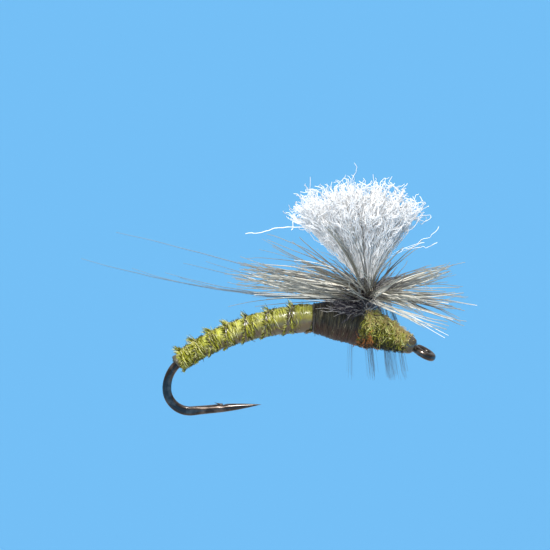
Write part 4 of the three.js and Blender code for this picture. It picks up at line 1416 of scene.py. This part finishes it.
def make_studio():
    """A floor that turns from pale grey under the fly to sky blue, and light from high in front."""
    mesh = bpy.data.meshes.new("floor")
    ends = ((-1, -1), (1, -1), (1, 1), (-1, 1))
    corners = [(x * FLOOR_HALF, y * FLOOR_HALF, FLOOR_LEVEL) for x, y in ends]
    mesh.from_pydata(corners, [], [(0, 1, 2, 3)])
    finish, tree, shader = new_finish("floor_paint", 0.9)
    shader.inputs["Specular IOR Level"].default_value = 0.0
    flat = vectors(tree, "MULTIPLY", place_in(tree, "Object"), (1.0, 1.0, 0.0))
    away = add(tree, "ShaderNodeVectorMath", {0: flat}, operation="LENGTH").outputs["Value"]
    blue = share_between(tree, away, *FLOOR_TURNS_BLUE, interpolation_type="SMOOTHSTEP")
    paint(tree, shader, blend(tree, blue, FLOOR_UNDER, FLOOR_BEYOND))
    mesh.materials.append(finish)
    floor = bpy.data.objects.new("floor", mesh)
    bpy.context.scene.collection.objects.link(floor)

    world = bpy.data.worlds.new("studio")
    world.use_nodes = True
    sky = world.node_tree
    direction = add(sky, "ShaderNodeTexCoord").outputs["Generated"]
    height = add(sky, "ShaderNodeSeparateXYZ", {0: direction}).outputs[2]
    stops = ((0.0, (0.26, 0.25, 0.24)), (0.35, (0.42, 0.42, 0.42)), (0.8, (1.0, 1.01, 1.04)))
    light = ramp(sky, height, *stops)
    sky.links.new(light, sky.nodes["Background"].inputs["Color"])
    sky.nodes["Background"].inputs["Strength"].default_value = 0.9
    bpy.context.scene.world = world
    make_sun("key", (0.1, -0.8, 1.15), 3.2, 9, (1.0, 0.98, 0.94))
    make_sun("fill", (-0.4, -1.0, 0.25), 2.2, 30, (0.98, 0.98, 1.0), shines=False)


# ---------------------------------------------------------------- assembly

OLIVE_THREAD = thread_finish(
    "olive_thread", (0.03, 0.026, 0.006), (0.16, 0.14, 0.035), (0.03, 0.014, 0.006))
DARK_THREAD = thread_finish(
    "dark_thread", (0.004, 0.003, 0.003), (0.06, 0.055, 0.03), (0.06, 0.02, 0.008))
GREY_THREAD = thread_finish("grey_thread", (0.03, 0.033, 0.04), (0.17, 0.18, 0.2))
PALE_FLOSS = thread_finish("pale_floss", (0.3, 0.28, 0.08), (0.6, 0.58, 0.25))
QUILL_FLUE = hair("quill_flue", 0.4, (
    (0.15, (0.02, 0.017, 0.001)), (0.38, (0.1, 0.098, 0.004)), (0.58, (0.36, 0.36, 0.018)),
    (0.8, (0.66, 0.65, 0.08)), (0.96, (0.92, 0.88, 0.48))), streak=0.3, Specular_IOR_Level=0.25)
DARK_FLUE = hair("dark_flue", 0.4, (
    (0.1, (0.006, 0.006, 0.006)), (0.6, (0.03, 0.025, 0.016)),
    (0.82, (0.1, 0.09, 0.035)), (0.95, (0.3, 0.26, 0.16))))
OLIVE_FUR = hair("olive_fur", 0.36, (
    (0.0, (0.01, 0.01, 0.003)), (0.22, (0.04, 0.04, 0.006)), (0.4, (0.15, 0.145, 0.014)),
    (0.58, (0.5, 0.49, 0.045)), (0.78, (0.9, 0.88, 0.36)), (0.93, (0.42, 0.15, 0.035))), streak=0.1,
    Coat_Weight=0.4)
WHITE_FIBRE = hair("white_fibre", 0.4, (
    (0.0, (0.95, 0.95, 0.93)), (0.5, (0.98, 0.98, 0.96)), (1.0, (1.0, 0.99, 0.97))),
    tips=(0.93, 0.94, 0.95), streak=0.3)
# The top stop, a near white ivory, is a painted highlight colour for the barbs of tone 0.97.
DUN_BARB = hair("dun_barb", 0.28, (
    (0.05, (0.025, 0.021, 0.028)), (0.25, (0.08, 0.071, 0.054)), (0.45, (0.16, 0.148, 0.098)),
    (0.62, (0.16, 0.16, 0.19)), (0.78, (0.33, 0.3, 0.21)), (0.93, (1.0, 0.95, 0.82))),
    tips=(0.28, 0.29, 0.26), streak=0.25, Specular_IOR_Level=0.8)
# Painted highlight: a pale ivory finish for barbs that stand for streaks of light.
PAINTED_HIGHLIGHT_BARB = hair("painted_highlight_barb", 0.3, ((0.2, (0.4, 0.38, 0.32)), (0.6, (0.86, 0.83, 0.74))), streak=0.5)
SOFT_BARB = hair("soft_barb", 0.5, (
    (0.1, (0.07, 0.1, 0.13)), (0.9, (0.16, 0.21, 0.26))), tips=(0.15, 0.25, 0.34))
WEB_BARB = hair("web_barb", 0.5, (
    (0.1, (0.014, 0.011, 0.018)), (0.6, (0.09, 0.08, 0.1)), (0.88, (0.6, 0.56, 0.52))), streak=0.3)
STEM = hair("hackle_quill", 0.35, ((0.2, (0.02, 0.018, 0.02)), (0.8, (0.12, 0.11, 0.1))))

bpy.context.scene.view_settings.view_transform = "Standard"
make_camera()
make_studio()
make_hook(bronzed_wire())
make_hidden(OLIVE_THREAD, PALE_FLOSS)
make_abdomen(glossy_quill(), QUILL_FLUE)
make_winding(winding_heart(), DARK_THREAD, DARK_FLUE)
make_dubbing(fur_base(), OLIVE_FUR)
make_head(OLIVE_THREAD, varnish())
make_post_body(yarn_body())
make_tuft(WHITE_FIBRE)
make_post_threads(GREY_THREAD)
make_hackle(DUN_BARB, PAINTED_HIGHLIGHT_BARB, SOFT_BARB, WEB_BARB, STEM)

bpy.context.view_layer.update()
